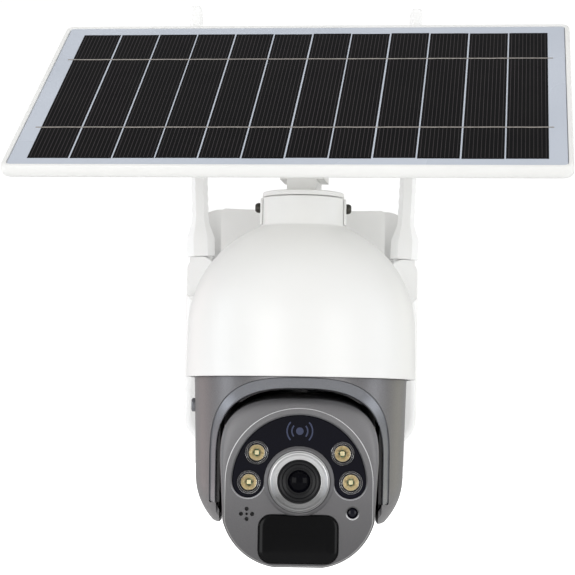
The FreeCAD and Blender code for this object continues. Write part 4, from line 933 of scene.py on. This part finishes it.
def make_panel_frame():
    """Shallow tray with a rounded outer edge, a fine inner lip and a sunk floor."""
    w, d = FRAME_WIDTH, FRAME_DEPTH
    rings = [(9.0, -7.4), (4.8, -7.4), (2.6, -7.15), (0.9, -6.0), (0.15, -4.4), (0.0, -2.6), (0.1, -0.6),
             (0.5, 0.25), (1.1, 0.6), (2.1, 0.6), (2.6, 0.35), (2.75, -0.1), (2.75, -3.2)]
    body = grow_through("panel_tray", [
        flat_outline(w - 2 * inset, d - 2 * inset, max(4.2 - inset * 0.5, 0.8), z) for inset, z in rings])
    carve(body, grow_through("relief", [flat_outline(w - 18, d - 18, 3.0, z) for z in (-3.1, -5.6)]))
    deliver(body, "panel", WHITE_FRAME, ("panel_frame",), on_panel=True)


def make_panel_glass():
    """Laminate with a softened front edge, a hair's breadth inside the frame."""
    loops = [flat_outline(GLASS_WIDTH - 0.3, GLASS_DEPTH - 0.3, 1.2, -3.15),
             flat_outline(GLASS_WIDTH - 0.3, GLASS_DEPTH - 0.3, 1.2, -0.25),
             flat_outline(GLASS_WIDTH - 0.8, GLASS_DEPTH - 0.8, 1.0, 0.0)]
    glass = grow_through("panel_laminate", loops)
    deliver(glass, "panel", BACK_SHEET, ("panel_glass",), on_panel=True)


def cell_middle(index):
    return MID_X + (index - (CELLS_ACROSS - 1) / 2) * CELL_PITCH


def make_cells():
    """Twelve strips with their printed fingers, and the two ribbons that join them."""
    rng = random.Random(7)
    low, high = CELL_MID_Y - CELL_LENGTH / 2, CELL_MID_Y + CELL_LENGTH / 2
    strips, fingers = [], []
    half = (CELL_PITCH - CELL_GAP) / 2
    finger_pitch = (2 * half - 1.2) / (FINGERS - 1) * 0.92
    for index in range(CELLS_ACROSS):
        middle = cell_middle(index) + rng.uniform(-0.12, 0.12)
        shift = rng.uniform(-0.5, 0.5)
        along = (low + shift, high + shift)
        strips.append(add_block("strip", (middle - half, middle + half), along, (0.0, 0.06)))
        for finger in range(FINGERS):
            x = middle + (finger - (FINGERS - 1) / 2) * finger_pitch
            fingers.append(add_block("finger", (x - 0.14, x + 0.14), (along[0] + 1.2, along[1] - 1.2),
                                     (0.055, 0.075)))
    deliver(merge("silicon_strips", strips), "panel", CELL, ("solar_cells",), on_panel=True)
    deliver(merge("printed_fingers", fingers), "panel", FINGER, on_panel=True)
    reach = CELLS_ACROSS * CELL_PITCH / 2
    ribbons = []
    for place in RIBBON_PLACES:
        y = low + place * CELL_LENGTH
        left, right = MID_X - reach - 2.7, MID_X + reach + 2.5
        path = [(left + (right - left) * index / RIBBON_STEPS, y + rng.uniform(-0.14, 0.14))
                for index in range(RIBBON_STEPS + 1)]
        loops = [[(x, mid - 0.5, 0.06), (x, mid - 0.42, 0.16), (x, mid + 0.42, 0.16), (x, mid + 0.5, 0.06)]
                 for x, mid in path]
        ribbons.append(grow_through("ribbon", loops))
    deliver(merge("tinned_ribbons", ribbons), "panel", RIBBON, on_panel=True)


# ---------------------------------------------------------------- antennas

def blade_section(half, depth, z):
    """Eight-sided section with a broad middle facet."""
    facet = half * 0.5
    side = depth * 0.38
    return [(half, -side, z), (half, side, z), (facet, depth, z), (-facet, depth, z), (-half, side, z),
            (-half, -side, z), (-facet, -depth, z), (facet, -depth, z)]


def make_antennas():
    """Blades with a wide heel and scalloped edges above it, each on its hinge eye."""
    stations = [(7.75, 5.2, 73.0), (8.15, 5.5, 73.5), (8.15, 5.5, 84.0), (6.6, 4.8, 88.5), (4.9, 3.8, 93.5)]
    stations += [(4.75 + 0.22 * math.cos(index * math.pi / 2), 3.7, 95.5 + index * 1.5)
                 for index in range(16)]
    stations += [(4.6, 3.6, 124), (4.1, 3.4, 170), (3.7, 3.2, 219.0), (3.45, 3.0, 220.8),
                 (2.9, 2.6, 222.0), (2.2, 2.0, 222.5)]
    for side, sign in SIDES:
        blade = grow_through("antenna_blade_" + side, [blade_section(*station) for station in stations])
        tongue = add_block("tongue", (-6.3, 6.3), (-2.1, 2.1), (FOLD_Z, 74.0))
        eye = add_rod("eye", 6.3, (0, -2.1, FOLD_Z), "Y", 4.2, sides=64)
        carve(blade, tongue, "UNION")
        carve(blade, eye, "UNION")
        carve(blade, add_rod("pin_hole", 1.56, (0, -8, FOLD_Z), "Y", 16, sides=32))
        pivot = Matrix.Translation((0, 0, FOLD_Z))
        splayed = pivot @ Matrix.Rotation(SPLAY * sign, 4, "Y") @ pivot.inverted()
        blade.matrix_world = Matrix.Translation((sign * ANTENNA_X, ANTENNA_Y, 0)) @ splayed
        settle(blade)
        deliver(blade, "antenna_" + side, WHITE_PAINTED_BRIGHTER, ("antenna_paddle_" + side,), angle=25)


make_dome()
make_neck_screws()
make_swivel_disc()
make_yoke()
make_rim()
make_power_button()
make_head_front()
make_lamp_window()
make_lamps()
make_symbol()
make_lens()
make_motion_window()
make_light_sensor()
make_panel_frame()
make_panel_glass()
make_cells()
make_antennas()


# ---------------------------------------------------------------- stage, lights and camera

CAMERA_OFFSET = Vector((0, -1.1252, -0.0208))
CAMERA_TURNS = (-0.007, 0.062, 0.016)   # yaw, pitch and roll
CAMERA_LENS = 130.6
OBJECT_MIDDLE = (0, -0.12, -0.05)


def make_floor():
    """Pale floor, lit up for the camera alone so that it reads as white paper."""
    deselect()
    bpy.ops.mesh.primitive_plane_add(size=30, location=(0, 0, -0.42))
    floor = named("studio_floor")
    material, nodes, links, shader = new_material("pale_floor")
    grain = grain_node(nodes, 60, 3)
    tone = between(nodes, links, grain.outputs["Patch"], 0.0, 1.0)
    colour = blend_colour(nodes, links, tone, (0.93, 0.93, 0.93), (0.95, 0.95, 0.95))
    links.new(colour, shader.inputs["Base Color"])
    shader.inputs["Roughness"].default_value = 0.9
    ray = nodes.new("ShaderNodeLightPath")
    shader.inputs["Emission Color"].default_value = (1, 1, 1, 1)
    links.new(ray.outputs["Is Camera Ray"], shader.inputs["Emission Strength"])
    paint(floor, material)


def add_area(name, place, target, size, power, colour=(1, 1, 1)):
    deselect()
    bpy.ops.object.light_add(type="AREA", location=place)
    light = bpy.context.active_object
    light.name = name
    light.data.shape = "RECTANGLE"
    light.data.size, light.data.size_y = size
    light.data.energy = power
    light.data.color = colour
    direction = Vector(target) - Vector(place)
    light.rotation_euler = direction.to_track_quat("-Z", "Y").to_euler()
    return light


def make_lights():
    middle = (0, -0.12, 0)
    add_area("top_softbox", (0.0, -0.4, 2.2), (0, -0.2, 0), (3.2, 3.2), 16)
    add_area("front_left_softbox", (-1.2, -2.1, 0.0), middle, (1.1, 1.6), 17.5)
    add_area("front_right_softbox", (1.3, -2.0, -0.05), middle, (1.0, 1.6), 14)
    add_area("left_strip", (-1.3, -0.22, 0.0), OBJECT_MIDDLE, (0.35, 1.2), 3.6, (0.88, 0.93, 1.0))
    add_area("right_strip", (1.3, -0.22, 0.0), OBJECT_MIDDLE, (0.35, 1.2), 3.2, (0.9, 0.94, 1.0))
    add_area("left_edge", (-1.2, 0.8, 0.0), OBJECT_MIDDLE, (0.6, 1.4), 2.2, (1.0, 0.74, 0.7))
    add_area("right_edge", (1.2, 0.8, 0.0), OBJECT_MIDDLE, (0.6, 1.4), 1.8, (0.94, 0.9, 0.62))


def make_world():
    """Even studio surround that the camera sees as white paper."""
    world = bpy.data.worlds.new("studio")
    bpy.context.scene.world = world
    world.use_nodes = True
    nodes, links = world.node_tree.nodes, world.node_tree.links
    background = nodes["Background"]
    background.inputs["Color"].default_value = (1, 1, 1, 1)
    ray = nodes.new("ShaderNodeLightPath")
    level = nodes.new("ShaderNodeMix")
    level.inputs["A"].default_value = 0.6
    level.inputs["B"].default_value = 1.05
    links.new(ray.outputs["Is Camera Ray"], level.inputs["Factor"])
    links.new(level.outputs["Result"], background.inputs["Strength"])


def make_camera():
    """Camera in front of and a little below the dome, looking slightly up."""
    place = RIM + CAMERA_OFFSET
    yaw, pitch, roll = CAMERA_TURNS
    forward = Vector((math.sin(yaw) * math.cos(pitch), math.cos(yaw) * math.cos(pitch), math.sin(pitch)))
    right = Vector((math.cos(yaw), -math.sin(yaw), 0))
    up = right.cross(forward)
    right_rolled = right * math.cos(roll) + up * math.sin(roll)
    up_rolled = up * math.cos(roll) - right * math.sin(roll)
    deselect()
    bpy.ops.object.camera_add(location=place)
    camera = bpy.context.active_object
    camera.name = "view_camera"
    turned = Matrix((right_rolled, up_rolled, -forward)).transposed()
    camera.rotation_euler = turned.to_euler()
    camera.data.sensor_width = 36.0
    camera.data.lens = CAMERA_LENS
    camera.data.clip_end = 100.0
    bpy.context.scene.camera = camera


make_floor()
make_lights()
make_world()
make_camera()
bpy.context.scene.view_settings.view_transform = "Standard"
